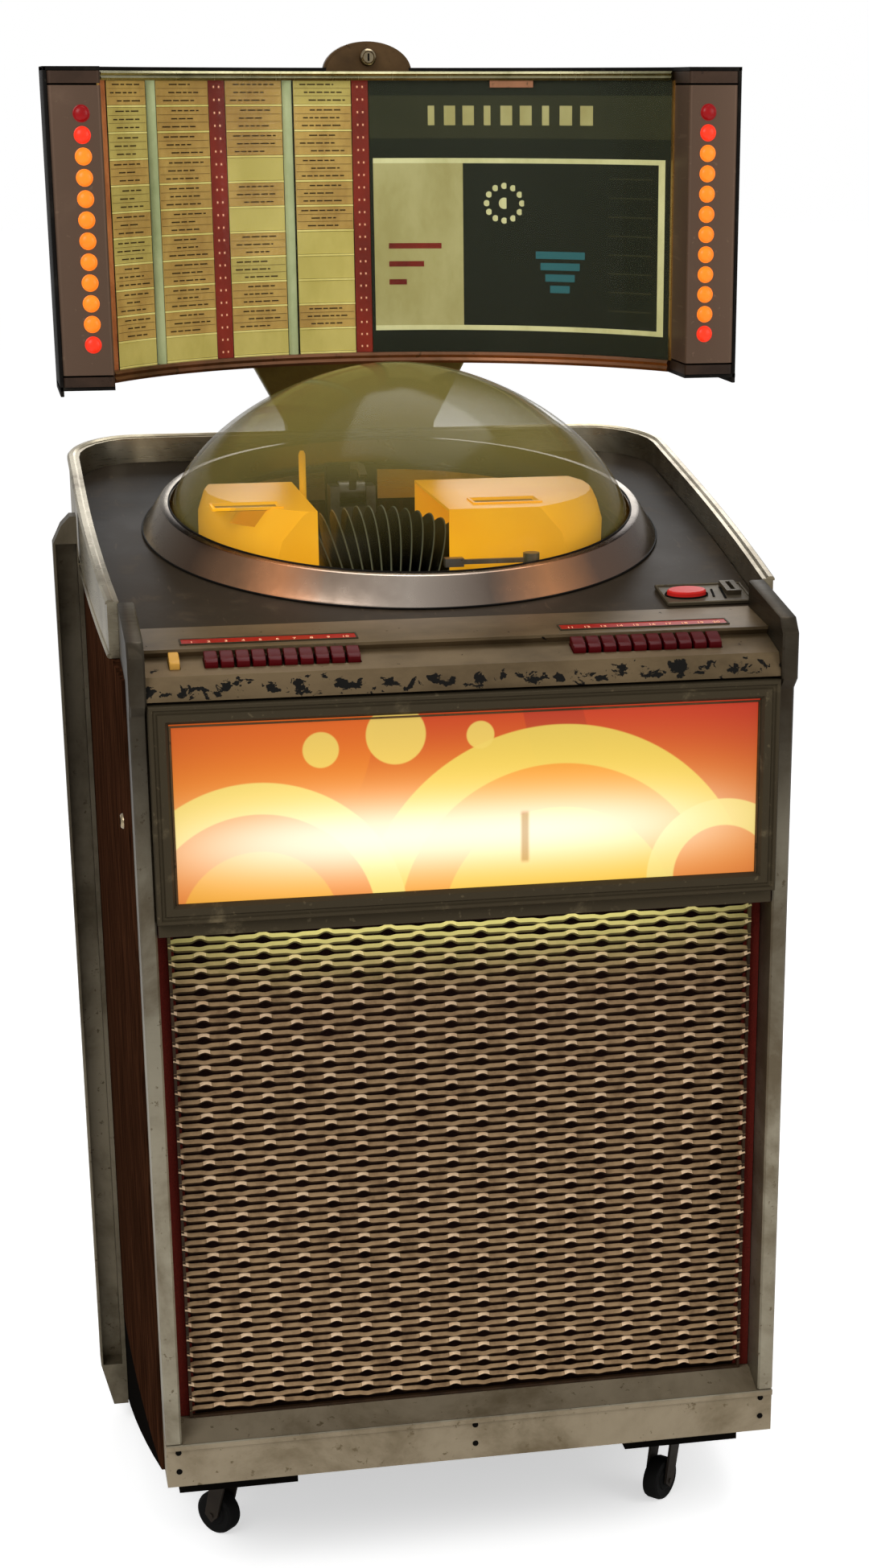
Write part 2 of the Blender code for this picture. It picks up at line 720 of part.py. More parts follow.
def grille():
    """Expanded-metal grille: diamond openings between flat strands, in a thin border."""
    half = OPENING_HALF_WIDTH - GRILLE_SIDE_GAP
    bottom = KICK_SHELF_Z
    top = RAIL_BOTTOM_Z - GAP
    pitch_x = 2 * (half - GRILLE_BORDER / 2) / GRILLE_COLUMNS
    pitch_z = (top - bottom - GRILLE_BORDER) / GRILLE_ROWS
    work = bmesh.new()
    corners = {}
    slope = math.hypot(pitch_x, pitch_z)
    cut_x = GRILLE_STRAND * slope / pitch_z / 2
    cut_z = GRILLE_STRAND * slope / pitch_x / 2

    def corner(column, row, across, up):
        """Vertex at one tip of the diamond opening in a column and row of half pitches."""
        key = (column, row, across, up)
        if key not in corners:
            x = -half + GRILLE_BORDER / 2 + column * pitch_x / 2
            z = bottom + GRILLE_BORDER / 2 + row * pitch_z / 2
            x += across * (pitch_x / 2 - cut_x)
            z += up * (pitch_z / 2 - cut_z)
            corners[key] = work.verts.new((x, 0, z))
        return corners[key]

    last_column = 2 * GRILLE_COLUMNS
    last_row = 2 * GRILLE_ROWS
    for column in range(0, last_column + 1):
        for row in range(0, last_row + 1):
            if (column + row) % 2 == 0:
                continue
            ring = []
            if column > 0:
                ring.append(corner(column - 1, row, 1, 0))
            if row > 0:
                ring.append(corner(column, row - 1, 0, 1))
            if column < last_column:
                ring.append(corner(column + 1, row, -1, 0))
            if row < last_row:
                ring.append(corner(column, row + 1, 0, -1))
            if len(ring) >= 3:
                work.faces.new(ring)
    for column in range(0, last_column):
        for row in range(0, last_row):
            if (column + row) % 2 == 0:
                ring = [
                    corner(column, row, 1, 0),
                    corner(column + 1, row + 1, 0, -1),
                    corner(column + 1, row + 1, -1, 0),
                    corner(column, row, 0, 1),
                ]
            else:
                ring = [
                    corner(column + 1, row, 0, 1),
                    corner(column + 1, row, -1, 0),
                    corner(column, row + 1, 0, -1),
                    corner(column, row + 1, 1, 0),
                ]
            work.faces.new(ring)
    bmesh.ops.recalc_face_normals(work, faces=work.faces)
    mesh = bpy.data.meshes.new("speaker_grille")
    work.to_mesh(mesh)
    work.free()
    item = bpy.data.objects.new("speaker_grille", mesh)
    item.location = (0, GRILLE_Y, 0)
    adopt(item, "speaker_grille", FRAME, "bronze")
    solidify = item.modifiers.new("thickness", "SOLIDIFY")
    solidify.thickness = GRILLE_THICKNESS
    solidify.offset = 0
    depth = GRILLE_THICKNESS / 2 + GRILLE_THICKNESS
    outer = [(-half, bottom), (half, bottom), (half, top), (-half, top)]
    border = prism("cut_grille_border", outer, GRILLE_Y - depth, GRILLE_Y + depth, "Y")
    inset = GRILLE_BORDER
    low = (-half + inset, GRILLE_Y - 2 * depth, bottom + inset)
    high = (half - inset, GRILLE_Y + 2 * depth, top - inset)
    cut(border, box("cut_grille_window", low, high))
    join(item, border)
    return item


def baffle():
    """Cloth-covered board behind the grille with its loudspeaker, front rail and tube holders."""
    half = OPENING_HALF_WIDTH - RUN_GAP
    low = (-half, BAFFLE_Y, BAFFLE_BOTTOM_Z)
    high = (half, BAFFLE_Y + BAFFLE_THICKNESS, BAFFLE_TOP_Z)
    board = box("speaker_baffle", low, high, FRAME, "cloth")
    rail_low = (-half, GRILLE_THICKNESS, RAIL_BOTTOM_Z)
    rail_high = (half, BAFFLE_Y + FUSE, RAIL_TOP_Z)
    join(board, box("cut_front_rail", rail_low, rail_high))
    for side in (-1, 1):
        outer = TUBE_HALF_LENGTH + GAP + TUBE_HOLDER_WIDTH
        inner = TUBE_HALF_LENGTH + GAP
        low = (min(side * inner, side * outer), TUBE_Y - TUBE_RADIUS, TUBE_Z - TUBE_HOLDER_HALF_HEIGHT)
        high = (max(side * inner, side * outer), BAFFLE_Y + FUSE, TUBE_Z + TUBE_HOLDER_HALF_HEIGHT)
        join(board, box(f"cut_tube_holder_{side}", low, high))
    back = BAFFLE_Y + BAFFLE_THICKNESS
    cone_profile = [
        (SPEAKER_RADIUS + SPEAKER_WALL, -FUSE),
        (SPEAKER_RADIUS + SPEAKER_WALL, SPEAKER_WALL),
        (SPEAKER_THROAT + SPEAKER_WALL, SPEAKER_CONE_DEPTH),
        (SPEAKER_MAGNET_RADIUS, SPEAKER_CONE_DEPTH),
        (SPEAKER_MAGNET_RADIUS, SPEAKER_CONE_DEPTH + SPEAKER_MAGNET_DEPTH),
        (0, SPEAKER_CONE_DEPTH + SPEAKER_MAGNET_DEPTH),
        (0, -FUSE),
    ]
    profile = list(reversed(cone_profile))
    turn = (-math.pi / 2, 0, 0)
    basket = turned("cut_speaker_basket", profile, (0, back, SPEAKER_Z), FRAME, None, 24, turn)
    join(board, basket)
    bowl_profile = [
        (0, -BAFFLE_THICKNESS - OVERRUN),
        (0, SPEAKER_CONE_DEPTH - SPEAKER_WALL),
        (SPEAKER_THROAT, SPEAKER_CONE_DEPTH - SPEAKER_WALL),
        (SPEAKER_RADIUS, 0),
        (SPEAKER_RADIUS, -BAFFLE_THICKNESS - OVERRUN),
    ]
    bowl = turned("cut_speaker_bowl", bowl_profile, (0, back, SPEAKER_Z), FRAME, None, 24, turn)
    cut(board, bowl)
    return board


def display():
    """Lit front panel: a metal frame hung at its foot, its printed glass and the tube behind."""
    hinge = new_empty("display_hinge", (0, DISPLAY_FRONT_Y, DISPLAY_BOTTOM_Z), (0, 0, 0), FRAME)
    half = OPENING_HALF_WIDTH - GAP
    height = DISPLAY_TOP_Z - DISPLAY_BOTTOM_Z
    frame = box("display_frame", (-half, 0, 0), (half, DISPLAY_DEPTH, height), hinge, "pewter", DISPLAY_EDGE)
    low_z = WINDOW_BOTTOM_Z - DISPLAY_BOTTOM_Z
    high_z = WINDOW_TOP_Z - DISPLAY_BOTTOM_Z
    low = (-WINDOW_HALF_WIDTH, -OVERRUN, low_z)
    high = (WINDOW_HALF_WIDTH, DISPLAY_DEPTH + OVERRUN, high_z)
    cut(frame, box("cut_display_window", low, high, hinge))
    rebate = WINDOW_LAND + GAP
    back = DISPLAY_GLASS_RECESS
    low = (-WINDOW_HALF_WIDTH - rebate, back, low_z - rebate)
    high = (WINDOW_HALF_WIDTH + rebate, DISPLAY_DEPTH + OVERRUN, high_z + rebate)
    cut(frame, box("cut_display_rebate", low, high, hinge))
    low = (-WINDOW_HALF_WIDTH - WINDOW_LAND, back + GAP, low_z - WINDOW_LAND)
    high = (WINDOW_HALF_WIDTH + WINDOW_LAND, back + GAP + DISPLAY_GLASS_THICKNESS, high_z + WINDOW_LAND)
    box("display_glass", low, high, hinge, "crimson_glass")
    cylinder("display_tube", (0, TUBE_Y, TUBE_Z), TUBE_RADIUS, 2 * TUBE_HALF_LENGTH, "X", FRAME, "white", 16)


def shelf_frame():
    """Empty on the key shelf: its Y runs up the shelf and its Z stands out of it."""
    return new_empty("key_shelf", (0, SHELF_FRONT_Y, SHELF_FRONT_Z), (SHELF_ANGLE, 0, 0), FRAME)


def keyboard():
    """Stepped metal housing of the selector with a slot for each row of keys."""
    half = FRONT_HALF_WIDTH - POST_WIDTH - GAP
    profile = [
        (LIP_REAR_Y, KEYBOARD_BOTTOM_Z),
        (KEYBOARD_FACE_Y, KEYBOARD_BOTTOM_Z),
        (KEYBOARD_FACE_Y, KEYBOARD_CHIN_Z),
        (SHELF_FRONT_Y, SHELF_FRONT_Z),
        (SHELF_REAR_Y, SHELF_REAR_Z),
        (LIP_FRONT_Y, LIP_FRONT_Z - LIP_THICKNESS),
        (LIP_FRONT_Y, LIP_FRONT_Z),
        (LIP_REAR_Y, LIP_REAR_Z),
    ]
    housing = prism("keyboard_housing", profile, -half, half, "X", FRAME, "keyboard")
    shelf = shelf_frame()
    front = SHELF_LENGTH * KEY_FRONT_SHARE - RUN_GAP
    rear = SHELF_LENGTH * KEY_REAR_SHARE + RUN_GAP
    depth = KEY_SUNK + KEY_TRAVEL + RUN_GAP
    group_half = KEY_PITCH * (KEYS_PER_GROUP - 1) / 2 + KEY_WIDTH / 2 + RUN_GAP
    for name, middle in (("left", LEFT_GROUP_X), ("right", RIGHT_GROUP_X)):
        low = (middle - group_half, front, -depth)
        high = (middle + group_half, rear, OVERRUN)
        cut(housing, box(f"cut_key_slot_{name}", low, high, shelf))
        for number in range(KEYS_PER_GROUP):
            x = middle + (number - (KEYS_PER_GROUP - 1) / 2) * KEY_PITCH
            key(f"key_{name}_{number + 1:02d}", x, KEY_WIDTH, shelf, "key")
    low = (AMBER_KEY_X - AMBER_KEY_WIDTH / 2 - RUN_GAP, front, -depth)
    high = (AMBER_KEY_X + AMBER_KEY_WIDTH / 2 + RUN_GAP, rear, OVERRUN)
    cut(housing, box("cut_amber_slot", low, high, shelf))
    key("amber_key", AMBER_KEY_X, AMBER_KEY_WIDTH, shelf, "amber")
    return housing


def key(name, x, width, shelf, colour):
    """One push key that stands out of its slot, square to the shelf."""
    front = SHELF_LENGTH * KEY_FRONT_SHARE
    rear = SHELF_LENGTH * KEY_REAR_SHARE
    middle = (front + rear) / 2
    seat = new_empty(f"{name}_seat", (x, middle, 0), (0, 0, 0), shelf)
    low = (-width / 2, front - middle, -KEY_SUNK)
    high = (width / 2, rear - middle, KEY_PROUD)
    piece = box(name, low, high, seat, colour)
    round_edges(piece, KEY_EDGE)
    return piece


def lid():
    """Deck panel and the rim round it, whose skirt reaches down to the cabinet."""
    flat = [(x, y / math.cos(DECK_ANGLE)) for x, y in plan_outline(-RIM_WALL - RUN_GAP, DECK_FRONT_Y)]
    panel = prism("deck_panel", flat, -DECK_THICKNESS, 0, "Z", DECK, "deck")
    hole_radius = DOME_RADIUS - DOME_WALL - DOME_SEAT / 2
    hole = cylinder("cut_deck_hole", (0, DOME_V, 0), hole_radius, OVERRUN, "Z", DECK, None, ROUND_STEPS)
    cut(panel, hole)
    centre = (REJECT_X, REJECT_V, 0)
    reject_hole = cylinder("cut_reject_hole", centre, 1, OVERRUN, "Z", DECK, None, REJECT_STEPS)
    squash(reject_hole, REJECT_HALF_WIDTH + GAP, REJECT_HALF_LENGTH + GAP)
    cut(panel, reject_hole)
    slot_x = COIN_SLOT_WIDTH / 2
    slot_v = COIN_SLOT_LENGTH / 2
    low = (COIN_SLOT_X - slot_x, COIN_SLOT_V - slot_v, -OVERRUN)
    high = (COIN_SLOT_X + slot_x, COIN_SLOT_V + slot_v, OVERRUN)
    cut(panel, box("cut_panel_coin_slot", low, high, DECK))
    band = plan_band(RIM_OUTSET, -RIM_WALL, PARTING_FRONT_Y)
    highest = deck_z(REAR_Y) + 2 * RIM_HEIGHT
    lowest = PARTING_FRONT_Z - OVERRUN
    rim = prism("lid_rim", band, lowest, highest, "Z", LID, "aluminium")
    wide = WIDEST_HALF_WIDTH + OVERRUN
    rear = REAR_Y + OVERRUN
    below = [
        (0, parting_z(0)),
        (rear, parting_z(rear)),
        (rear, lowest - OVERRUN),
        (0, lowest - OVERRUN),
    ]
    cut(rim, prism("cut_rim_line", below, -wide, wide, "X", LID))
    above = [
        (0, deck_z(0) + POST_TOP_RISE),
        (rear, deck_z(rear) + POST_TOP_RISE),
        (rear, highest + OVERRUN),
        (0, highest + OVERRUN),
    ]
    cut(rim, prism("cut_rim_top", above, -wide, wide, "X", LID))
    return rim


def squash(item, across, along):
    """Turns a unit round into an oval of the given half sizes."""
    for vertex in item.data.vertices:
        vertex.co[0] *= across
        vertex.co[1] *= along


def dome():
    """Clear dome and the flared ring that holds it on the deck."""
    inner_radius = DOME_RADIUS + GAP
    ring_profile = [
        (inner_radius, RING_HEIGHT),
        (RING_TOP_RADIUS, RING_HEIGHT),
        (RING_BOTTOM_RADIUS, GAP),
        (inner_radius, GAP),
    ]
    turned("dome_ring", ring_profile, (0, DOME_V, 0), DECK, "taupe")
    profile = dome_profile(0, GAP) + list(reversed(dome_profile(DOME_WALL, GAP)))
    turned("dome_shell", profile, (0, DOME_V, 0), DECK, "clear")


def coin_plate():
    """Coin entry on the deck with its slot block and the oval reject button."""
    half_x = COIN_WIDTH / 2
    half_v = COIN_LENGTH / 2
    low = (COIN_CENTRE_X - half_x, COIN_CENTRE_V - half_v, GAP)
    high = (COIN_CENTRE_X + half_x, COIN_CENTRE_V + half_v, GAP + COIN_THICKNESS)
    plate = box("coin_plate", low, high, DECK, "keyboard", KICK_EDGE)
    low = (COIN_SLOT_X - COIN_BLOCK_WIDTH / 2, COIN_SLOT_V - COIN_BLOCK_LENGTH / 2, COIN_THICKNESS / 2)
    high = (COIN_SLOT_X + COIN_BLOCK_WIDTH / 2, COIN_SLOT_V + COIN_BLOCK_LENGTH / 2, COIN_BLOCK_HEIGHT)
    join(plate, box("cut_slot_block", low, high, DECK))
    low = (COIN_SLOT_X - COIN_SLOT_WIDTH / 2, COIN_SLOT_V - COIN_SLOT_LENGTH / 2, -OVERRUN)
    high = (COIN_SLOT_X + COIN_SLOT_WIDTH / 2, COIN_SLOT_V + COIN_SLOT_LENGTH / 2, OVERRUN)
    cut(plate, box("cut_coin_slot", low, high, DECK))
    hole = cylinder("cut_plate_reject", (REJECT_X, REJECT_V, 0), 1, OVERRUN, "Z", DECK, None, REJECT_STEPS)
    squash(hole, REJECT_HALF_WIDTH + GAP, REJECT_HALF_LENGTH + GAP)
    cut(plate, hole)
    seat = new_empty("reject_seat", (REJECT_X, REJECT_V, 0), (0, 0, 0), DECK)
    top = GAP + COIN_THICKNESS + REJECT_PROUD
    middle = (top - DECK_THICKNESS) / 2
    length = top + DECK_THICKNESS
    button = cylinder("reject_button", (0, 0, middle), 1, length, "Z", seat, "red", REJECT_STEPS)
    squash(button, REJECT_HALF_WIDTH, REJECT_HALF_LENGTH)
    round_edges(button, KEY_EDGE)
    return plate


def fins():
    """Aluminium channels that stand out from the sides and open to the front."""
    inner = half_width(FIN_Y) + GAP
    near, far = FIN_CORNER_SHARES
    for name, side in (("left", -1), ("right", 1)):
        foot_x = FIN_OUTER_X - FIN_FOOT_CUT
        outline = [
            (side * (WIDEST_HALF_WIDTH + GAP), FIN_BOTTOM_Z),
            (side * foot_x, FIN_BOTTOM_Z),
            (side * FIN_OUTER_X, FIN_BOTTOM_Z + FIN_FOOT_RISE),
            (side * FIN_OUTER_X, FIN_TOP_Z - FIN_TOP_CUT),
            (side * (FIN_OUTER_X - FIN_TOP_CUT * near), FIN_TOP_Z - FIN_TOP_CUT * near),
            (side * (FIN_OUTER_X - FIN_TOP_CUT * far), FIN_TOP_Z),
            (side * (WIDEST_HALF_WIDTH + RIM_OUTSET + FIN_CLEARANCE), FIN_TOP_Z),
            (side * (WIDEST_HALF_WIDTH + RIM_OUTSET + FIN_CLEARANCE), parting_z(FIN_Y) - FIN_CLEARANCE),
            (side * (WIDEST_HALF_WIDTH + GAP), parting_z(FIN_Y) - FIN_CLEARANCE),
        ]
        fin = prism(f"side_fin_{name}", outline, FIN_Y, FIN_Y + FIN_DEPTH, "Y", FRAME, "aluminium")
        groove_inner = inner + FIN_SHEET + FIN_SHEET
        groove_outer = FIN_OUTER_X - FIN_SHEET
        x_low = min(side * groove_inner, side * groove_outer)
        x_high = max(side * groove_inner, side * groove_outer)
        low = (x_low, FIN_Y - OVERRUN, FIN_BOTTOM_Z + FIN_FOOT_RISE)
        high = (x_high, FIN_Y + FIN_DEPTH - FIN_SHEET, FIN_TOP_Z - FIN_TOP_CUT)
        cut(fin, box(f"cut_fin_groove_{name}", low, high))


def mechanism_plate():
    """Steel plate under the deck with the slot for the record wheel, its bearings and the gripper block."""
    half = half_width(PLATE_FRONT_Y) - WALL - PLATE_SIDE_GAP
    top = PLATE_Z + PLATE_THICKNESS
    plate = box("mechanism_plate", (-half, PLATE_FRONT_Y, PLATE_Z), (half, PLATE_REAR_Y, top), FRAME, "zinc")
    slot_half = math.sqrt(WHEEL_RADIUS ** 2 - (PLATE_Z - WHEEL_Z) ** 2) + SLOT_MARGIN
    reach = RECORD_RADIUS + SLOT_MARGIN
    low = (WHEEL_X - slot_half, WHEEL_Y - reach, PLATE_Z - OVERRUN)
    high = (WHEEL_X + slot_half, WHEEL_Y + reach, top + OVERRUN)
    cut(plate, box("cut_wheel_slot", low, high))
    bearing_y = reach + BEARING_GAP
    for name, side in (("front", -1), ("rear", 1)):
        start = WHEEL_Y + side * bearing_y
        end = start + side * BEARING_THICKNESS
        low = (WHEEL_X - BEARING_WIDTH / 2, min(start, end), WHEEL_Z - BEARING_REACH)
        high = (WHEEL_X + BEARING_WIDTH / 2, max(start, end), PLATE_Z + PLATE_THICKNESS / 2)
        join(plate, box(f"cut_bearing_{name}", low, high))
    bore_length = 2 * (bearing_y + BEARING_THICKNESS) + OVERRUN
    cut(plate, cylinder("cut_axle_bore", (WHEEL_X, WHEEL_Y, WHEEL_Z), AXLE_RADIUS + GAP, bore_length, "Y"))
    block_low_y = GRIPPER_Y - GRIPPER_BLOCK_DEPTH / 2
    block_high_y = GRIPPER_Y + GRIPPER_BLOCK_DEPTH / 2
    hub_half = GRIPPER_HUB_HALF_LENGTH + GAP
    low = (GRIPPER_X - GRIPPER_BLOCK_HALF_WIDTH, block_low_y, PLATE_Z + PLATE_THICKNESS / 2)
    high = (GRIPPER_X + GRIPPER_BLOCK_HALF_WIDTH, block_high_y, GRIPPER_Z + GRIPPER_EAR)
    join(plate, box("cut_gripper_block", low, high))
    low = (GRIPPER_X - hub_half, block_low_y - OVERRUN, GRIPPER_Z - GRIPPER_HUB_RADIUS - GRIPPER_EAR)
    high = (GRIPPER_X + hub_half, block_high_y + OVERRUN, GRIPPER_Z + OVERRUN)
    cut(plate, box("cut_gripper_fork", low, high))
    pin_length = 2 * hub_half + 2 * FUSE
    pin_centre = (GRIPPER_X, GRIPPER_Y, GRIPPER_Z)
    join(plate, cylinder("cut_gripper_pin", pin_centre, AXLE_RADIUS / 2, pin_length, "X"))
    post_top = PLATTER_Z - GAP
    for name, x, y, radius, height in (
        ("platter", PLATTER_X, PLATTER_Y, PLATTER_POST_RADIUS, post_top),
        ("tonearm", TONEARM_X, TONEARM_Y, TONEARM_POST_RADIUS, TONEARM_Z - TONEARM_BAR / 2 - GAP),
    ):
        length = height - PLATE_Z - PLATE_THICKNESS / 2
        centre = (x, y, height - length / 2)
        join(plate, cylinder(f"cut_{name}_post", centre, radius, length, "Z", FRAME, None, 16))
    return plate


def record_wheel():
    """Wheel of upright records: thin radial fins whose edges follow each record's round."""
    origin = new_empty("record_wheel_axis", (WHEEL_X, WHEEL_Y, WHEEL_Z), (0, 0, 0), FRAME)
    middle = WHEEL_RADIUS - RECORD_RADIUS
    outline = []
    hub = HUB_RADIUS
    for number in range(RECORD_COUNT):
        angle = 2 * math.pi * number / RECORD_COUNT
        hub_turn = RECORD_THICKNESS / 2 / hub
        tip_turn = RECORD_THICKNESS / 2 / WHEEL_RADIUS
        corners = ((hub, -hub_turn), (WHEEL_RADIUS, -tip_turn), (WHEEL_RADIUS, tip_turn), (hub, hub_turn))
        for reach, turn in corners:
            outline.append((reach * math.cos(angle + turn), reach * math.sin(angle + turn)))
    wheel = prism("record_wheel", outline, -RECORD_RADIUS, RECORD_RADIUS, "Y", origin, "black")
    profile = [(0, -RECORD_RADIUS)]
    for step in range(1, RECORD_ARC_STEPS):
        angle = math.pi * step / RECORD_ARC_STEPS - math.pi / 2
        profile.append((middle + RECORD_RADIUS * math.cos(angle), RECORD_RADIUS * math.sin(angle)))
    profile.append((0, RECORD_RADIUS))
    rounding = [(0, -HUB_HALF_LENGTH), (hub + FUSE, -HUB_HALF_LENGTH)]
    rounding += [point for point in profile[1:-1] if point[0] > hub + FUSE]
    rounding += [(hub + FUSE, HUB_HALF_LENGTH), (0, HUB_HALF_LENGTH)]
    turn = (-math.pi / 2, 0, 0)
    rounding.reverse()
    rounds = turned("cut_record_rounds", rounding, (0, 0, 0), origin, None, 48, turn)
    combine(wheel, rounds, "INTERSECT")
    axle_half = RECORD_RADIUS + SLOT_MARGIN + BEARING_GAP + BEARING_THICKNESS
    join(wheel, cylinder("cut_wheel_axle", (0, 0, 0), AXLE_RADIUS, 2 * axle_half, "Y", origin, None, 16))
    return wheel


def dome_profile(inset, bottom):
    """Turned profile of the dome's outer face, drawn in by an inset and carried down to a level."""
    points = []
    for step in range(DOME_RINGS + 1):
        angle = math.pi / 2 * step / DOME_RINGS
        across = math.sin(angle) ** (2 / DOME_ROUNDNESS)
        up = max(0, math.cos(angle)) ** (2 / DOME_ROUNDNESS)
        points.append(((DOME_RADIUS - inset) * across, RING_HEIGHT / 2 + (DOME_RISE - inset) * up))
    return points + [(DOME_RADIUS - inset, bottom)]


def hood_solid(name, inner_x, side, shrink, bottom, top, colour):
    """Block under the dome: straight front, back and inner side, the rest as round as the dome."""
    front = COVER_FRONT_Y + shrink
    rear = COVER_REAR_Y - shrink
    wide = DOME_RADIUS + OVERRUN
    outline = [(inner_x, front), (side * wide, front), (side * wide, rear), (inner_x, rear)]
    block = prism(name, outline, bottom, top, "Z", FRAME, colour)
    profile = dome_profile(COVER_INSET + shrink, PLATE_Z - deck_z(REAR_Y) - OVERRUN)
    profile.append((0, profile[-1][1]))
    rounding = turned(f"cut_{name}_round", profile, (0, DOME_V, 0), DECK, None, ROUND_STEPS)
    combine(block, rounding, "INTERSECT")
    return block


def covers():
    """Yellow moulded hoods over the shoulders of the record wheel, open below and to the records."""
    for name, inner_x, side, top in (
        ("left", LEFT_COVER_INNER_X, -1, LEFT_COVER_TOP_Z),
        ("right", RIGHT_COVER_INNER_X, 1, RIGHT_COVER_TOP_Z),
    ):
        bottom = PLATE_Z + PLATE_THICKNESS + GAP
        hood = hood_solid(f"cover_{name}", inner_x, side, 0, bottom, top, "yellow")
        open_side = inner_x - side * OVERRUN
        inside = (f"cut_cover_{name}", open_side, side, COVER_WALL, bottom - OVERRUN, top - COVER_WALL, None)
        cut(hood, hood_solid(*inside))
        beyond = side * (DOME_RADIUS + OVERRUN)
        low = (min(open_side, beyond), COVER_FRONT_Y + COVER_WALL, bottom - OVERRUN)
        high = (max(open_side, beyond), COVER_REAR_Y - COVER_WALL, COVER_SKIRT_Z)
        cut(hood, box(f"cut_cover_skirt_{name}", low, high))
        window_x = inner_x + side * COVER_WINDOW_WIDTH
        low = (window_x - COVER_WINDOW_WIDTH / 2, COVER_FRONT_Y + COVER_WINDOW_LENGTH, top - OVERRUN)
        high = (window_x + COVER_WINDOW_WIDTH / 2, COVER_FRONT_Y + 2 * COVER_WINDOW_LENGTH, top + OVERRUN)
        cut(hood, box(f"cut_cover_window_{name}", low, high))


def turntable():
    """Small platter with its spindle."""
    origin = new_empty("turntable_axis", (PLATTER_X, PLATTER_Y, PLATTER_Z), (0, 0, 0), FRAME)
    profile = [
        (0, 0),
        (0, PLATTER_THICKNESS + SPINDLE_RISE),
        (SPINDLE_RADIUS, PLATTER_THICKNESS + SPINDLE_RISE - SPINDLE_RADIUS),
        (SPINDLE_RADIUS, PLATTER_THICKNESS),
        (PLATTER_RADIUS - SPINDLE_RADIUS, PLATTER_THICKNESS),
        (PLATTER_RADIUS, PLATTER_THICKNESS - SPINDLE_RADIUS),
        (PLATTER_RADIUS, 0),
    ]
    turned("turntable", profile, (0, 0, 0), origin, "rubber", 28)


def tonearm():
    """Straight pickup arm parked in front of the right cover."""
    origin = new_empty("tonearm_axis", (TONEARM_X, TONEARM_Y, TONEARM_Z), (0, 0, 0), FRAME)
    half = TONEARM_BAR / 2
    low = (-TONEARM_LENGTH, -half, -half)
    arm = box("tonearm", low, (half, half, half), origin, "zinc")
    join(arm, cylinder("cut_arm_hub", (0, 0, half), TONEARM_POST_RADIUS, 4 * half, "Z", origin, None, 16))
    low = (-TONEARM_LENGTH, -TONEARM_HEAD_WIDTH / 2, -TONEARM_HEAD_HEIGHT / 2)
    high = (-TONEARM_LENGTH + TONEARM_HEAD_LENGTH, TONEARM_HEAD_WIDTH / 2, TONEARM_HEAD_HEIGHT / 2)
    join(arm, box("cut_arm_head", low, high, origin))


def gripper():
    """Bow that lifts a record, hung on a pin behind the wheel."""
    origin = new_empty("gripper_axis", (GRIPPER_X, GRIPPER_Y, GRIPPER_Z), (0, 0, 0), FRAME)
    hub = cylinder(
        "gripper_arm", (0, 0, 0), GRIPPER_HUB_RADIUS, 2 * GRIPPER_HUB_HALF_LENGTH, "X", origin, "zinc", 16
    )
    bore_radius = AXLE_RADIUS / 2 + GAP
    half = GRIPPER_TUBE
    rise = GRIPPER_RISE
    near, far = (-GRIPPER_RADIUS * share for share in GRIPPER_BOW_SHARES)
    reach = GRIPPER_HUB_RADIUS - FUSE
    bow = [
        (-reach, -half / 2),
        (-reach, half),
        (near, rise),
        (far, rise + half),
        (-GRIPPER_RADIUS, rise - half),
        (-GRIPPER_RADIUS + half, rise - half - half),
        (far, rise - half / 2),
        (near, rise - half - half),
    ]
    join(hub, prism("cut_gripper_bow", bow, -half, half, "X", origin))
    bore_length = 2 * GRIPPER_HUB_HALF_LENGTH + OVERRUN
    cut(hub, cylinder("cut_gripper_bore", (0, 0, 0), bore_radius, bore_length, "X", origin))


def title_plan(front_setback, end_inset):
    """Plan of the title unit between its pilasters and its bowed back."""
    front = arc_through(PILASTER_INNER_X - end_inset, GLASS_END_Y, GLASS_MIDDLE_Y, TITLE_ARC_STEPS)
    return [(x, y + front_setback) for x, y in front]


def cable_way(name, top):
    """Block that opens the way for the wiring from the neck up into the title unit."""
    rear = TITLE_REAR_Y - TITLE_WALL
    low = (-TITLE_CABLE_HALF_WIDTH, rear - TITLE_CABLE_DEPTH, TITLE_BOTTOM_Z - GAP - NECK_SHELL - OVERRUN)
    return box(name, low, (TITLE_CABLE_HALF_WIDTH, rear, top), LID)


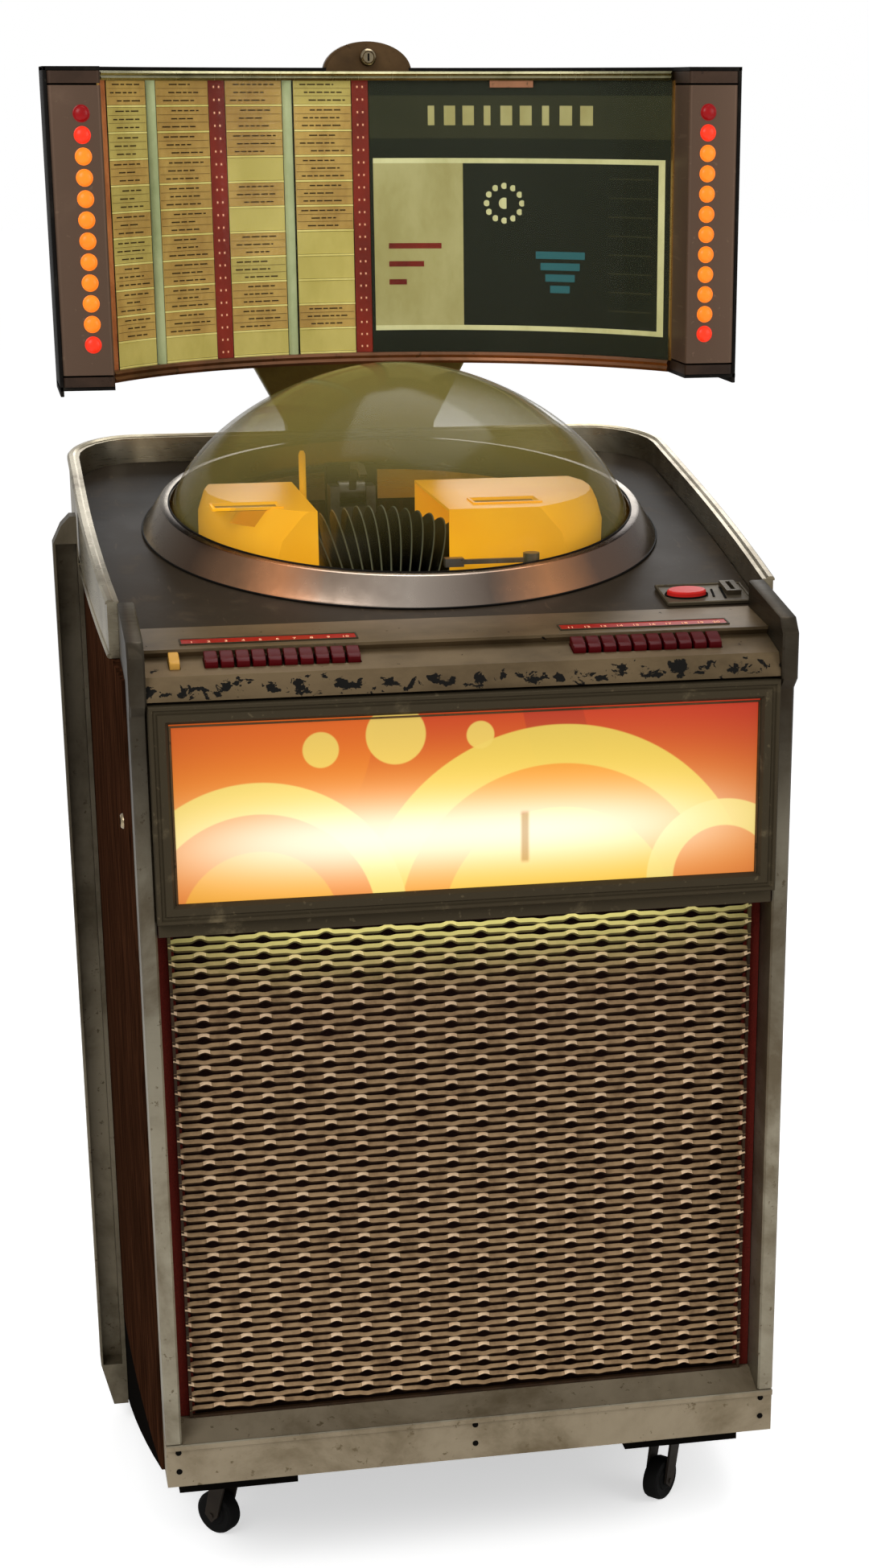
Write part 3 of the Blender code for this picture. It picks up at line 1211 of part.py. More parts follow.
def title_unit():
    """Curved title screen: housing with lamps on its pilasters, strip board, glass, top tab and lock."""
    front = title_plan(0, 0)
    back = arc_through(TITLE_HALF_WIDTH, PILASTER_REAR_Y, TITLE_REAR_Y, TITLE_ARC_STEPS)
    outline = [(TITLE_HALF_WIDTH, PILASTER_FRONT_Y), (PILASTER_INNER_X, PILASTER_FRONT_Y)]
    outline += front
    outline += [(-PILASTER_INNER_X, PILASTER_FRONT_Y), (-TITLE_HALF_WIDTH, PILASTER_FRONT_Y)]
    outline += list(reversed(back))
    housing = prism("title_housing", outline, TITLE_BOTTOM_Z, TITLE_TOP_Z, "Z", LID, "taupe")
    mouth = title_plan(-OVERRUN, TITLE_WALL)
    inner_x = PILASTER_INNER_X - TITLE_WALL
    inner_back = arc_through(
        inner_x, PILASTER_REAR_Y + TITLE_WALL, TITLE_REAR_Y - TITLE_WALL, TITLE_ARC_STEPS
    )
    hollow = mouth + list(reversed(inner_back))
    low = TITLE_BOTTOM_Z + TITLE_TRIM
    high = TITLE_TOP_Z - TITLE_TRIM
    cut(housing, prism("cut_title_hollow", hollow, low, high, "Z", LID))
    glass_front = title_plan(TITLE_GLASS_RECESS, TITLE_WALL + GAP)
    glass_back = title_plan(TITLE_GLASS_RECESS + TITLE_GLASS_THICKNESS, TITLE_WALL + GAP)
    pane = glass_front + list(reversed(glass_back))
    prism("title_glass", pane, low + GAP, high - GAP, "Z", LID, "title_glass")
    board_setback = TITLE_GLASS_RECESS + TITLE_GLASS_THICKNESS + TITLE_BOARD_GAP
    board_front = title_plan(board_setback, TITLE_WALL - FUSE)
    board_back = title_plan(board_setback + TITLE_BOARD_THICKNESS, TITLE_WALL - FUSE)
    board = board_front + list(reversed(board_back))
    join(housing, prism("cut_title_board", board, low - FUSE, high + FUSE, "Z", LID))
    cut(housing, cable_way("cut_housing_cable", low + OVERRUN))
    lamp_bottom = TITLE_BOTTOM_Z + LAMP_BOTTOM_RISE
    lamp_pitch = (TITLE_TOP_Z - LAMP_TOP_DROP - lamp_bottom) / (LAMP_COUNT - 1)
    lamp_y = PILASTER_FRONT_Y - LAMP_RISE / 2 + FUSE / 2
    for name, side in (("left", -1), ("right", 1)):
        for number in range(LAMP_COUNT):
            centre = (side * (TITLE_HALF_WIDTH - LAMP_INSET), lamp_y, lamp_bottom + number * lamp_pitch)
            title = f"cut_lamp_{name}_{number}"
            lamp = cylinder(title, centre, LAMP_RADIUS, LAMP_RISE + FUSE, "Y", LID, None, LAMP_STEPS)
            join(housing, lamp)
    tab = []
    for step in range(TAB_STEPS + 1):
        angle = math.pi * step / TAB_STEPS
        tab.append((TAB_HALF_WIDTH * math.cos(angle), TITLE_TOP_Z + TAB_RISE * math.sin(angle)))
    tab += [(-TAB_HALF_WIDTH, TITLE_TOP_Z - FUSE), (TAB_HALF_WIDTH, TITLE_TOP_Z - FUSE)]
    tab_rear = GLASS_MIDDLE_Y + TAB_THICKNESS + TITLE_WALL
    join(housing, prism("cut_title_tab", tab, tab_rear - TAB_THICKNESS, tab_rear, "Y", LID))
    lock_y = tab_rear - TAB_THICKNESS
    seat = new_empty("title_lock_axis", (0, lock_y, TITLE_TOP_Z + TITLE_LOCK_RISE), (0, 0, 0), LID)
    centre = (0, -TITLE_LOCK_LENGTH / 2 - GAP, 0)
    lock = cylinder("title_lock", centre, TITLE_LOCK_RADIUS, TITLE_LOCK_LENGTH, "Y", seat, "zinc", 20)
    round_edges(lock, KICK_EDGE)
    return housing


def neck():
    """Tapered column behind the dome that carries the title unit."""
    front = REAR_Y + RIM_OUTSET + GAP
    rear = TITLE_REAR_Y
    top = TITLE_BOTTOM_Z - GAP
    right = [(NECK_BOTTOM_HALF, NECK_BOTTOM_Z), (NECK_WAIST_HALF, NECK_WAIST_Z), (NECK_TOP_HALF, top)]
    outline = right + mirrored(right)
    column = prism("title_neck", outline, front, rear, "Y", LID, "olive", POST_EDGE)
    inner = [
        (NECK_BOTTOM_HALF - NECK_SHELL, NECK_BOTTOM_Z - OVERRUN),
        (NECK_WAIST_HALF - NECK_SHELL, NECK_WAIST_Z),
        (NECK_TOP_HALF - 2 * NECK_SHELL, top - NECK_SHELL),
    ]
    hollow = prism("cut_neck", inner + mirrored(inner), front + NECK_SHELL, rear - NECK_SHELL, "Y", LID)
    cut(column, hollow)
    cut(column, cable_way("cut_neck_cable", top + OVERRUN))
    return column


def side_lock():
    """Barrel lock in the left side."""
    face_x = half_width(SIDE_LOCK_Y) + SIDE_LOCK_PROUD
    seat = new_empty("side_lock_axis", (-face_x, SIDE_LOCK_Y, SIDE_LOCK_Z), (0, 0, 0), FRAME)
    centre = (SIDE_LOCK_LENGTH / 2, 0, 0)
    barrel = cylinder("side_lock", centre, SIDE_LOCK_RADIUS, SIDE_LOCK_LENGTH, "X", seat, "zinc", 20)
    round_edges(barrel, KICK_EDGE)


def caster(name, x, y, turn):
    """Swivel caster: a sheet fork with its axle, and the wheel between its legs."""
    swivel = new_empty(f"{name}_swivel", (x, y, CASTER_BOARD_Z), (0, 0, turn), FRAME)
    half = FORK_PLATE / 2
    top = -GAP
    fork = cylinder(f"{name}_fork", (0, 0, top - FORK_SHEET), half, 2 * FORK_SHEET, "Z", swivel, "zinc", 20)
    flat_radius = WHEEL_CASTER_RADIUS * math.cos(math.pi / CASTER_SIDES)
    axle_z = flat_radius - CASTER_BOARD_Z
    leg_inner = WHEEL_CASTER_WIDTH / 2 + FORK_CLEARANCE
    leg_outer = leg_inner + FORK_SHEET
    for side in (-1, 1):
        leg = [
            (-half / 2, top - FORK_SHEET),
            (half / 2, top - FORK_SHEET),
            (CASTER_TRAIL + FORK_LEG_LENGTH / 2, axle_z),
            (CASTER_TRAIL, axle_z - FORK_LEG_LENGTH / 2),
            (CASTER_TRAIL - FORK_LEG_LENGTH / 2, axle_z),
        ]
        start = min(side * leg_inner, side * leg_outer)
        end = max(side * leg_inner, side * leg_outer)
        join(fork, prism(f"cut_{name}_leg_{side}", leg, start, end, "X", swivel))
    axle_length = 2 * leg_outer + 2 * FORK_CLEARANCE
    axle_centre = (0, CASTER_TRAIL, axle_z)
    axle = cylinder(f"cut_{name}_axle", axle_centre, CASTER_AXLE_RADIUS, axle_length, "X", swivel, None, 12)
    join(fork, axle)
    wheel_axis = new_empty(f"{name}_axis", axle_centre, (math.pi / CASTER_SIDES, 0, 0), swivel)
    edge = WHEEL_CASTER_EDGE
    wide = WHEEL_CASTER_WIDTH / 2
    rim = WHEEL_CASTER_RADIUS
    profile = [
        (WHEEL_BORE, -wide),
        (WHEEL_BORE, wide),
        (rim - edge, wide),
        (rim, wide - edge),
        (rim, edge - wide),
        (rim - edge, -wide),
    ]
    turn = (0, math.pi / 2, 0)
    turned(f"{name}_wheel", profile, (0, 0, 0), wheel_axis, "rubber", CASTER_SIDES, turn)


def casters():
    """Four swivel casters under the floor board."""
    caster("caster_front_left", -CASTER_X, CASTER_FRONT_Y, CASTER_TURN)
    caster("caster_front_right", CASTER_X, CASTER_FRONT_Y, math.pi - CASTER_TURN)
    caster("caster_rear_left", -CASTER_X, CASTER_REAR_Y, -CASTER_TURN)
    caster("caster_rear_right", CASTER_X, CASTER_REAR_Y, CASTER_TURN)


cabinet()
rear_door()
posts()
kick_plate()
grille()
baffle()
display()
keyboard()
lid()
dome()
coin_plate()
fins()
mechanism_plate()
record_wheel()
covers()
turntable()
tonearm()
gripper()
title_unit()
neck()
side_lock()
casters()
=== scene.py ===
"""Looks of the jukebox: its finishes, fine pieces and lamps, with the camera and the studio light.

Metres, +Z up, X the viewer's right, front facing -Y. A depth is measured back from the front face of
the corner posts. UPRIGHT, ON_DECK and ON_SHELF carry such places into the frame's coordinates.
"""
import json
import math
import random

import bmesh
import bpy
from mathutils import Matrix, Vector


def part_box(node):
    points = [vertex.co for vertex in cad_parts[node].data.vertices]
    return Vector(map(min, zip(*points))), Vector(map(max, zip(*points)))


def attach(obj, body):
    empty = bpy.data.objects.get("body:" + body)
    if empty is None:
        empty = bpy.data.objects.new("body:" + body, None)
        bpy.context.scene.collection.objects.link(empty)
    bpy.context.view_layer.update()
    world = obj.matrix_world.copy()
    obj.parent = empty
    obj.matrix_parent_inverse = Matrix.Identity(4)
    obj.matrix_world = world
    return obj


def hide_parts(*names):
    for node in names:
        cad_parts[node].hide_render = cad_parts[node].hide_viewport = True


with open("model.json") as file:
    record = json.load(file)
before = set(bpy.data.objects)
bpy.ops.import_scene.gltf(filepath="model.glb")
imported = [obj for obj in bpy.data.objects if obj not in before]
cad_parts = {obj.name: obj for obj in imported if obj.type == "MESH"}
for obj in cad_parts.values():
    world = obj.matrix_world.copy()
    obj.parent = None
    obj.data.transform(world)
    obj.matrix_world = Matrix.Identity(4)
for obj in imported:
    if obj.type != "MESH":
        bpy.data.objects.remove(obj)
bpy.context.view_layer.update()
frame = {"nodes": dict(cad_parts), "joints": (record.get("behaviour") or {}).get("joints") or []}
random.seed(7)

# Camera fitted to the photograph
CAMERA_PLACE = (-0.4712, -2.9947, 1.5677)
CAMERA_PITCH = 0.33854
CAMERA_YAW = 0.2040
CAMERA_LENS = 62.54
CAMERA_SHIFT_X = -0.0668
CAMERA_SHIFT_Y = 0.1658

# Cabinet plan and heights, as in the part's source
POST_NOSE = 0.012
FRONT_HALF_WIDTH = 0.335
WIDEST_HALF_WIDTH = 0.354
WIDEST_DEPTH = 0.50
REAR_DEPTH = 0.7245
CORNER_RADIUS = 0.085
POST_WIDTH = 0.017
RIM_OUTSET = 0.002
RIM_WALL = 0.010
RIM_HEIGHT = 0.028
RIM_FRONT_DEPTH = 0.12
DECK_FRONT_Z = 1.035
DECK_RISE = 0.1498
PARTING_FRONT_Z = 1.0246
PARTING_SLOPE = 0.039 / 0.35
SHELF_FRONT = (0.001, 1.028)
SHELF_REAR = (0.046, 1.0385)
LIP_FRONT = (0.042, 1.0465)
LIP_REAR = (0.1165, 1.0540)
KEY_PITCH = 0.0156
KEY_WIDTH = 0.0126
KEY_COUNT = 10

# Finish of round pieces and edges
ROUND_STEPS = 96
SMOOTH_ANGLE = math.radians(32)
HAIR = 0.0004
EDGE = 0.0008

# Turns and places worked out from the frame
FRONT_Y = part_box("front_post_left")[0].y + POST_NOSE
DECK_ANGLE = math.atan(DECK_RISE)
SHELF_ANGLE = math.atan2(SHELF_REAR[1] - SHELF_FRONT[1], SHELF_REAR[0] - SHELF_FRONT[0])
LIP_ANGLE = math.atan2(LIP_REAR[1] - LIP_FRONT[1], LIP_REAR[0] - LIP_FRONT[0])
UPRIGHT = Matrix.Translation((0, FRONT_Y, 0))
ON_DECK = Matrix.Translation((0, FRONT_Y, DECK_FRONT_Z)) @ Matrix.Rotation(DECK_ANGLE, 4, "X")
ON_SHELF = Matrix.Translation((0, FRONT_Y + SHELF_FRONT[0], SHELF_FRONT[1]))
ON_SHELF = ON_SHELF @ Matrix.Rotation(SHELF_ANGLE, 4, "X")
ON_LIP = Matrix.Translation((0, FRONT_Y + LIP_FRONT[0], LIP_FRONT[1])) @ Matrix.Rotation(LIP_ANGLE, 4, "X")


def rgb(red, green, blue):
    """Linear colour of an 8-bit screen colour."""
    return tuple(((v / 255 + 0.055) / 1.055) ** 2.4 if v > 10 else v / 255 / 12.92 for v in (red, green, blue))


class Paint:
    """A Principled material and the few nodes that its looks are made of."""

    def __init__(self, name, colour=(128, 128, 128), roughness=0.5, metallic=0.0, specular=0.22):
        self.material = bpy.data.materials.new(name)
        self.material.use_nodes = True
        self.tree = self.material.node_tree
        self.shader = self.tree.nodes["Principled BSDF"]
        self.coords = self.tree.nodes.new("ShaderNodeTexCoord").outputs["Object"]
        self.put("Base Color", (*rgb(*colour), 1))
        self.put("Roughness", roughness)
        self.put("Metallic", metallic)
        self.put("Specular IOR Level", specular)

    def put(self, name, value):
        """Sets a socket of the shader, or links it."""
        self.feed(self.shader.inputs[name], value)
        return self

    def feed(self, socket, value):
        """Sets or links one input socket."""
        if isinstance(value, bpy.types.NodeSocket):
            self.tree.links.new(value, socket)
        else:
            socket.default_value = value

    def stretched(self, stretch):
        """Object coordinates, stretched along the axes."""
        node = self.tree.nodes.new("ShaderNodeMapping")
        node.inputs["Scale"].default_value = stretch
        self.tree.links.new(self.coords, node.inputs["Vector"])
        return node.outputs["Vector"]

    def noise(self, scale, stretch=(1, 1, 1), detail=4.0, roughness=0.6, distortion=0.0):
        """Noise value between 0 and 1."""
        node = self.tree.nodes.new("ShaderNodeTexNoise")
        self.tree.links.new(self.stretched(stretch), node.inputs["Vector"])
        node.inputs["Scale"].default_value = scale
        node.inputs["Detail"].default_value = detail
        node.inputs["Roughness"].default_value = roughness
        node.inputs["Distortion"].default_value = distortion
        return node.outputs["Fac"]

    def ramp(self, value, *stops):
        """Colour ramp of (position, screen colour) stops."""
        node = self.tree.nodes.new("ShaderNodeValToRGB")
        self.feed(node.inputs["Fac"], value)
        elements = node.color_ramp.elements
        while len(elements) < len(stops):
            elements.new(0.5)
        for element, (position, colour) in zip(elements, stops):
            element.position = position
            element.color = (*rgb(*colour), 1)
        return node.outputs["Color"]

    def band(self, value, low, high):
        """Smooth step from 0 at low to 1 at high."""
        node = self.tree.nodes.new("ShaderNodeMapRange")
        node.interpolation_type = "SMOOTHSTEP"
        self.feed(node.inputs["Value"], value)
        node.inputs["From Min"].default_value = low
        node.inputs["From Max"].default_value = high
        return node.outputs["Result"]

    def span(self, value, low, high):
        """Straight run from low to high as the value goes from 0 to 1."""
        node = self.tree.nodes.new("ShaderNodeMapRange")
        self.feed(node.inputs["Value"], value)
        node.inputs["To Min"].default_value = low
        node.inputs["To Max"].default_value = high
        return node.outputs["Result"]

    def math(self, operation, first, second=0.0):
        """One sum on two values."""
        node = self.tree.nodes.new("ShaderNodeMath")
        node.operation = operation
        self.feed(node.inputs[0], first)
        self.feed(node.inputs[1], second)
        return node.outputs[0]

    def mix(self, factor, first, second):
        """Colour between two colours."""
        node = self.tree.nodes.new("ShaderNodeMix")
        node.data_type = "RGBA"
        self.feed(node.inputs["Factor"], factor)
        for index, value in ((6, first), (7, second)):
            colour = value if isinstance(value, bpy.types.NodeSocket) else (*rgb(*value), 1)
            self.feed(node.inputs[index], colour)
        return node.outputs[2]

    def axes(self):
        """The object's X, Y and Z as three values."""
        node = self.tree.nodes.new("ShaderNodeSeparateXYZ")
        self.tree.links.new(self.coords, node.inputs[0])
        return node.outputs

    def bump(self, height, distance, strength=1.0):
        """Raises the surface by a height value."""
        node = self.tree.nodes.new("ShaderNodeBump")
        node.inputs["Strength"].default_value = strength
        node.inputs["Distance"].default_value = distance
        self.feed(node.inputs["Height"], height)
        return self.put("Normal", node.outputs["Normal"])

    def glow(self, colour, strength):
        """Light given off by the surface."""
        value = colour if isinstance(colour, bpy.types.NodeSocket) else (*rgb(*colour), 1)
        self.put("Emission Color", value)
        return self.put("Emission Strength", strength)


def walnut():
    """Dark walnut veneer with upright grain; the floor and the caster boards under it are painted near-black as
    painted shade under the cabinet.
    """
    paint = Paint("walnut", roughness=0.6, specular=0.0)
    grain = paint.noise(16, (9, 9, 0.55), 8, 0.62, 0.7)
    colour = paint.ramp(grain, (0.30, (24, 12, 6)), (0.50, (48, 27, 16)), (0.68, (70, 42, 26)))
    pores = paint.noise(60, (9, 9, 0.30), 3, 0.5)
    veneer = paint.mix(paint.band(pores, 0.60, 0.75), colour, (22, 11, 6))
    # Painted shade: below 0.148 m, under the cabinet, the veneer turns near-black
    floor = paint.band(paint.axes()["Z"], 0.148, 0.149)
    paint.put("Base Color", paint.mix(floor, (16, 14, 12), veneer))
    paint.put("Roughness", paint.span(grain, 0.45, 0.65))
    return paint.bump(pores, HAIR, 0.25).material


# Colour of the painted shade laid along an axis on worn metal
PAINTED_SHADE = (34, 26, 18)


def worn_metal(name, light, dark, roughness, brush=(1, 1, 60), metallic=0.85, spots=0.62, shade_runs=()):
    """Metal with brush marks, stains and dirt, and painted shade that darkens it from one place to another along an
    axis.
    """
    paint = Paint(name, light, roughness, metallic)
    stain = paint.noise(7, (1, 1, 1), 6, 0.65, 0.4)
    streak = paint.noise(22, brush, 5, 0.6)
    colour = paint.mix(paint.band(stain, 0.38, 0.70), light, dark)
    fleck = paint.band(paint.noise(90, (1, 1, 1), 3, 0.7), spots, spots + 0.08)
    colour = paint.mix(fleck, colour, dark)
    # Painted shade: each run darkens the metal towards the shade colour between two places on an axis
    for axis, clear, full, share in shade_runs:
        colour = paint.mix(paint.math("MULTIPLY", paint.band(paint.axes()[axis], clear, full), share), colour, PAINTED_SHADE)
    paint.put("Base Color", colour)
    paint.put("Roughness", paint.span(streak, roughness * 0.75, min(1.0, roughness * 1.5)))
    return paint.bump(streak, HAIR / 4, 0.3).material


DOME_AXIS_Y = 0.0529
# Share of the way round the dome's ring from its left side, seen from the front, and the metal's tone there, with its
# painted reflections
RING_REFLECTION_TONES = (
    (0.00, (120, 106, 88)), (0.06, (92, 78, 62)), (0.16, (84, 66, 52)), (0.24, (150, 112, 84)),
    (0.30, (232, 160, 112)), (0.36, (168, 146, 128)), (0.46, (196, 182, 168)), (0.56, (124, 108, 96)),
    (0.64, (214, 150, 104)), (0.72, (120, 96, 82)), (0.84, (96, 82, 72)), (1.00, (128, 116, 98)),
)


def ring_metal():
    """Spun metal with painted reflections: its tone swings between warm, pale and dark round the ring."""
    paint = Paint("ring_metal", (196, 180, 158), 0.22, 1.0)
    place = paint.axes()
    turn = paint.math("ARCTAN2", paint.math("SUBTRACT", DOME_AXIS_Y, place["Y"]), place["X"])
    share = paint.math("SUBTRACT", 1.0, paint.math("DIVIDE", turn, math.pi))
    grain = paint.noise(60, (1, 1, 1), 4, 0.6)
    share = paint.math("ADD", share, paint.span(grain, -0.01, 0.01))
    tone = paint.ramp(share, *RING_REFLECTION_TONES)
    fleck = paint.band(paint.noise(90, (1, 1, 1), 3, 0.7), 0.74, 0.80)
    paint.put("Base Color", paint.mix(fleck, tone, (70, 58, 46)))
    paint.put("Roughness", paint.span(grain, 0.16, 0.34))
    return paint.material


def chipped_paint(name, light, dark, chip_colour, chip_low, chip_high, roughness=0.42):
    """Metallic paint, chipped to black between two heights."""
    paint = Paint(name, light, roughness, 0.55)
    stain = paint.noise(9, (0.6, 1, 1), 6, 0.65)
    colour = paint.mix(paint.band(stain, 0.35, 0.72), light, dark)
    height = paint.axes()["Z"]
    rise = paint.band(height, chip_low, (chip_low + chip_high) / 2)
    fall = paint.math("SUBTRACT", 1.0, paint.band(height, (chip_low + chip_high) / 2, chip_high))
    zone = paint.math("MULTIPLY", rise, fall)
    flakes = paint.noise(68, (1, 1, 1.3), 5, 0.62, 0.4)
    level = paint.math("ADD", flakes, paint.math("MULTIPLY", zone, 0.18))
    chips = paint.band(level, 0.675, 0.695)
    paint.put("Base Color", paint.mix(chips, colour, chip_colour))
    paint.put("Roughness", paint.span(chips, roughness, 0.75))
    lower = paint.math("SUBTRACT", 1.0, chips)
    return paint.bump(lower, HAIR, 0.6).material


def rubbed(name, colour, worn, roughness, metallic=0.0, scale=14, spread=(0.50, 0.78)):
    """Paint or plastic with rubbed, lighter patches and fine scratches."""
    paint = Paint(name, colour, roughness, metallic, 0.04)
    patch = paint.noise(scale, (1, 1, 1), 7, 0.68, 0.3)
    scratch = paint.noise(130, (1, 0.12, 1), 2, 0.5)
    blend = paint.mix(paint.band(patch, *spread), colour, worn)
    paint.put("Base Color", paint.mix(paint.math("MULTIPLY", paint.band(scratch, 0.66, 0.72), 0.5), blend, worn))
    paint.put("Roughness", paint.span(patch, roughness * 0.8, min(1.0, roughness * 1.35)))
    return paint.bump(patch, HAIR / 2, 0.25).material


def plastic(name, colour, deep, roughness=0.25, glow=0.0):
    """Moulded plastic whose colour deepens in patches, glowing where asked; on the yellow covers this glow is painted
    light.
    """
    paint = Paint(name, colour, roughness, 0.0, 0.07)
    tone = paint.mix(paint.noise(11, (1, 1, 1), 3, 0.5), colour, deep)
    paint.put("Base Color", tone)
    paint.bump(paint.noise(300, (1, 1, 1), 2, 0.5), HAIR / 8, 0.3)
    if glow:
        paint.glow(tone, glow)
    return paint.material


def card(name, light, dark):
    """Printed card, aged and lit from behind."""
    paint = Paint(name, light, 0.6)
    tone = paint.mix(paint.band(paint.noise(16, (1, 1, 0.5), 6, 0.7), 0.30, 0.72), light, dark)
    paint.put("Base Color", tone)
    return paint.glow(tone, 0.36).material


def lamp_plastic(name, colour, edge, centre_strength):
    """Round lamp cap, its glow mottled between two colours."""
    paint = Paint(name, colour, 0.3)
    tone = paint.mix(paint.noise(60, (1, 1, 1), 2, 0.5), colour, edge)
    paint.put("Base Color", tone)
    return paint.glow(tone, centre_strength).material


def clear_plastic():
    """Tinted dome: nearly clear low down, denser towards its crown and where it is seen edge on."""
    paint = Paint("dome_plastic", (150, 140, 70), 0.12, 0.0, 0.16)
    facing = paint.tree.nodes.new("ShaderNodeLayerWeight")
    facing.inputs["Blend"].default_value = 0.32
    edge = facing.outputs["Facing"]
    place = paint.axes()
    above = paint.math("SUBTRACT", place["Z"], paint.math("MULTIPLY", place["Y"], DECK_RISE))
    crown = paint.band(above, CROWN_LOW_Z, CROWN_HIGH_Z)
    cover = paint.math("ADD", paint.span(edge, 0.0, 0.66), paint.math("MULTIPLY", crown, 0.27))
    haze = paint.noise(6, (1, 1, 1), 5, 0.6)
    paint.put("Alpha", paint.math("MINIMUM", paint.math("ADD", cover, paint.span(haze, -0.02, 0.02)), 0.93))
    tint = paint.mix(edge, (150, 138, 76), (104, 94, 52))
    paint.put("Base Color", paint.mix(crown, tint, (124, 114, 60)))
    return paint.material


def clear_glass():
    """Thin clear pane with a faint smear."""
    paint = Paint("pane", (96, 104, 76), 0.05, 0.0, 0.5)
    smear = paint.noise(5, (1, 1, 0.4), 5, 0.6)
    paint.put("Alpha", paint.span(smear, 0.02, 0.07))
    return paint.material


# Heights between which the dome's tint grows dense, measured along the rising deck
CROWN_LOW_Z = 1.186
CROWN_HIGH_Z = 1.236

# Printed, lit front panel: (x, z, radius, screen colour) of its overlapping discs, from the back one on
ART_DISCS = (
    (-0.300, 0.990, 0.205, (224, 92, 30)),
    (0.300, 1.020, 0.250, (184, 22, 34)),
    (0.300, 1.020, 0.190, (206, 40, 34)),
    (0.090, 0.760, 0.205, (232, 206, 96)),
    (0.090, 0.760, 0.165, (232, 128, 38)),
    (0.090, 0.760, 0.120, (236, 190, 66)),
    (-0.215, 0.770, 0.150, (232, 214, 120)),
    (-0.215, 0.770, 0.118, (220, 64, 28)),
    (-0.215, 0.770, 0.080, (234, 150, 40)),
    (0.262, 0.800, 0.080, (230, 214, 128)),
    (0.262, 0.800, 0.052, (214, 60, 30)),
    (-0.075, 0.962, 0.030, (236, 206, 104)),
    (-0.150, 0.950, 0.018, (236, 206, 104)),
    (0.010, 0.958, 0.014, (236, 206, 104)),
)
TUBE_GLOW_X = -0.020
TUBE_GLOW_Z = 0.858
TUBE_GLOW_HALF = 0.250
TUBE_GLOW_RISE = 0.030
CORNER_X = 0.306
# Painted shadow of the tube's bracket on the art: its middle, half width, and the heights where it starts and ends
HOLDER_SHADOW_X = 0.055
HOLDER_SHADOW_HALF = 0.006
HOLDER_SHADOW_LOW = 0.822
HOLDER_SHADOW_HIGH = 0.880


def lit_art():
    """Screen-printed discs in reds and yellows, lit by the tube behind their lower half, with the painted shadow of
    the tube's bracket.
    """
    paint = Paint("lit_art", (225, 90, 20), 0.35)
    place = paint.axes()
    height = paint.band(place["Z"], 0.80, 0.98)
    tone = paint.ramp(height, (0.0, (234, 160, 50)), (0.5, (226, 96, 30)), (1.0, (206, 52, 30)))
    for x, z, radius, colour in ART_DISCS:
        across = paint.math("POWER", paint.math("SUBTRACT", place["X"], x), 2.0)
        up = paint.math("POWER", paint.math("SUBTRACT", place["Z"], z), 2.0)
        away = paint.math("SQRT", paint.math("ADD", across, up))
        inside = paint.math("SUBTRACT", 1.0, paint.band(away, radius - 0.001, radius + 0.001))
        tone = paint.mix(paint.math("MULTIPLY", inside, 0.92), tone, colour)
    across = paint.math("DIVIDE", paint.math("SUBTRACT", place["X"], TUBE_GLOW_X), TUBE_GLOW_HALF)
    up = paint.math("DIVIDE", paint.math("SUBTRACT", place["Z"], TUBE_GLOW_Z), TUBE_GLOW_RISE)
    far = paint.math("ADD", paint.math("POWER", paint.math("ABSOLUTE", across), 4.0), paint.math("POWER", up, 2.0))
    hot = paint.math("POWER", 2.718, paint.math("MULTIPLY", far, -0.75))
    wide = paint.math("POWER", 2.718, paint.math("MULTIPLY", far, -0.12))
    # Painted shadow: a soft upright band where the tube's bracket darkens the glow
    beside = paint.math("ABSOLUTE", paint.math("SUBTRACT", place["X"], HOLDER_SHADOW_X))
    holder_shadow = paint.math("SUBTRACT", 1.0, paint.band(beside, HOLDER_SHADOW_HALF / 3, HOLDER_SHADOW_HALF))
    holder_shadow = paint.math("MULTIPLY", holder_shadow, paint.band(place["Z"], HOLDER_SHADOW_LOW, HOLDER_SHADOW_LOW + HOLDER_SHADOW_HALF))
    rest = paint.math("SUBTRACT", 1.0, paint.band(place["Z"], HOLDER_SHADOW_HIGH - HOLDER_SHADOW_HALF, HOLDER_SHADOW_HIGH))
    holder_shadow = paint.math("MULTIPLY", holder_shadow, rest)
    shine = paint.mix(paint.math("MULTIPLY", wide, 0.55), tone, (250, 206, 66))
    shine = paint.mix(paint.math("MULTIPLY", hot, 0.95), shine, (255, 252, 226))
    shine = paint.mix(paint.math("MULTIPLY", holder_shadow, 0.62), shine, (150, 96, 40))
    paint.put("Base Color", paint.mix(0.8, tone, (0, 0, 0)))
    corner = paint.math("POWER", paint.math("ABSOLUTE", paint.math("DIVIDE", place["X"], CORNER_X)), 4.0)
    strength = paint.math("ADD", 0.66, paint.math("MULTIPLY", wide, 0.46))
    strength = paint.math("SUBTRACT", strength, paint.math("MULTIPLY", corner, 0.14))
    return paint.glow(shine, strength).material


def grille_metal(name, light, dark, share):
    """Bronze paint on expanded metal, touched by the tube's light along its top."""
    paint = Paint(name, light, 0.42, 0.35)
    dust = paint.noise(38, (1, 1, 1), 5, 0.65)
    paint.put("Base Color", paint.mix(paint.band(dust, 0.36, 0.72), light, dark))
    paint.put("Roughness", paint.span(dust, 0.34, 0.60))
    place = paint.axes()
    up = paint.math("POWER", paint.band(place["Z"], 0.640, 0.768), 3.0)
    sides = paint.math("SUBTRACT", 1.0, paint.band(paint.math("ABSOLUTE", place["X"]), 0.15, 0.33))
    lit = paint.math("MULTIPLY", up, paint.span(sides, 0.25 * share, 0.95 * share))
    return paint.glow((230, 220, 132), lit).material


def cloth(name, light, dark):
    """Woven speaker cloth."""
    paint = Paint(name, light, 0.95)
    weave = paint.noise(900, (1, 1, 1), 1, 0.4)
    paint.put("Base Color", paint.mix(weave, light, dark))
    return paint.bump(weave, HAIR, 0.8).material


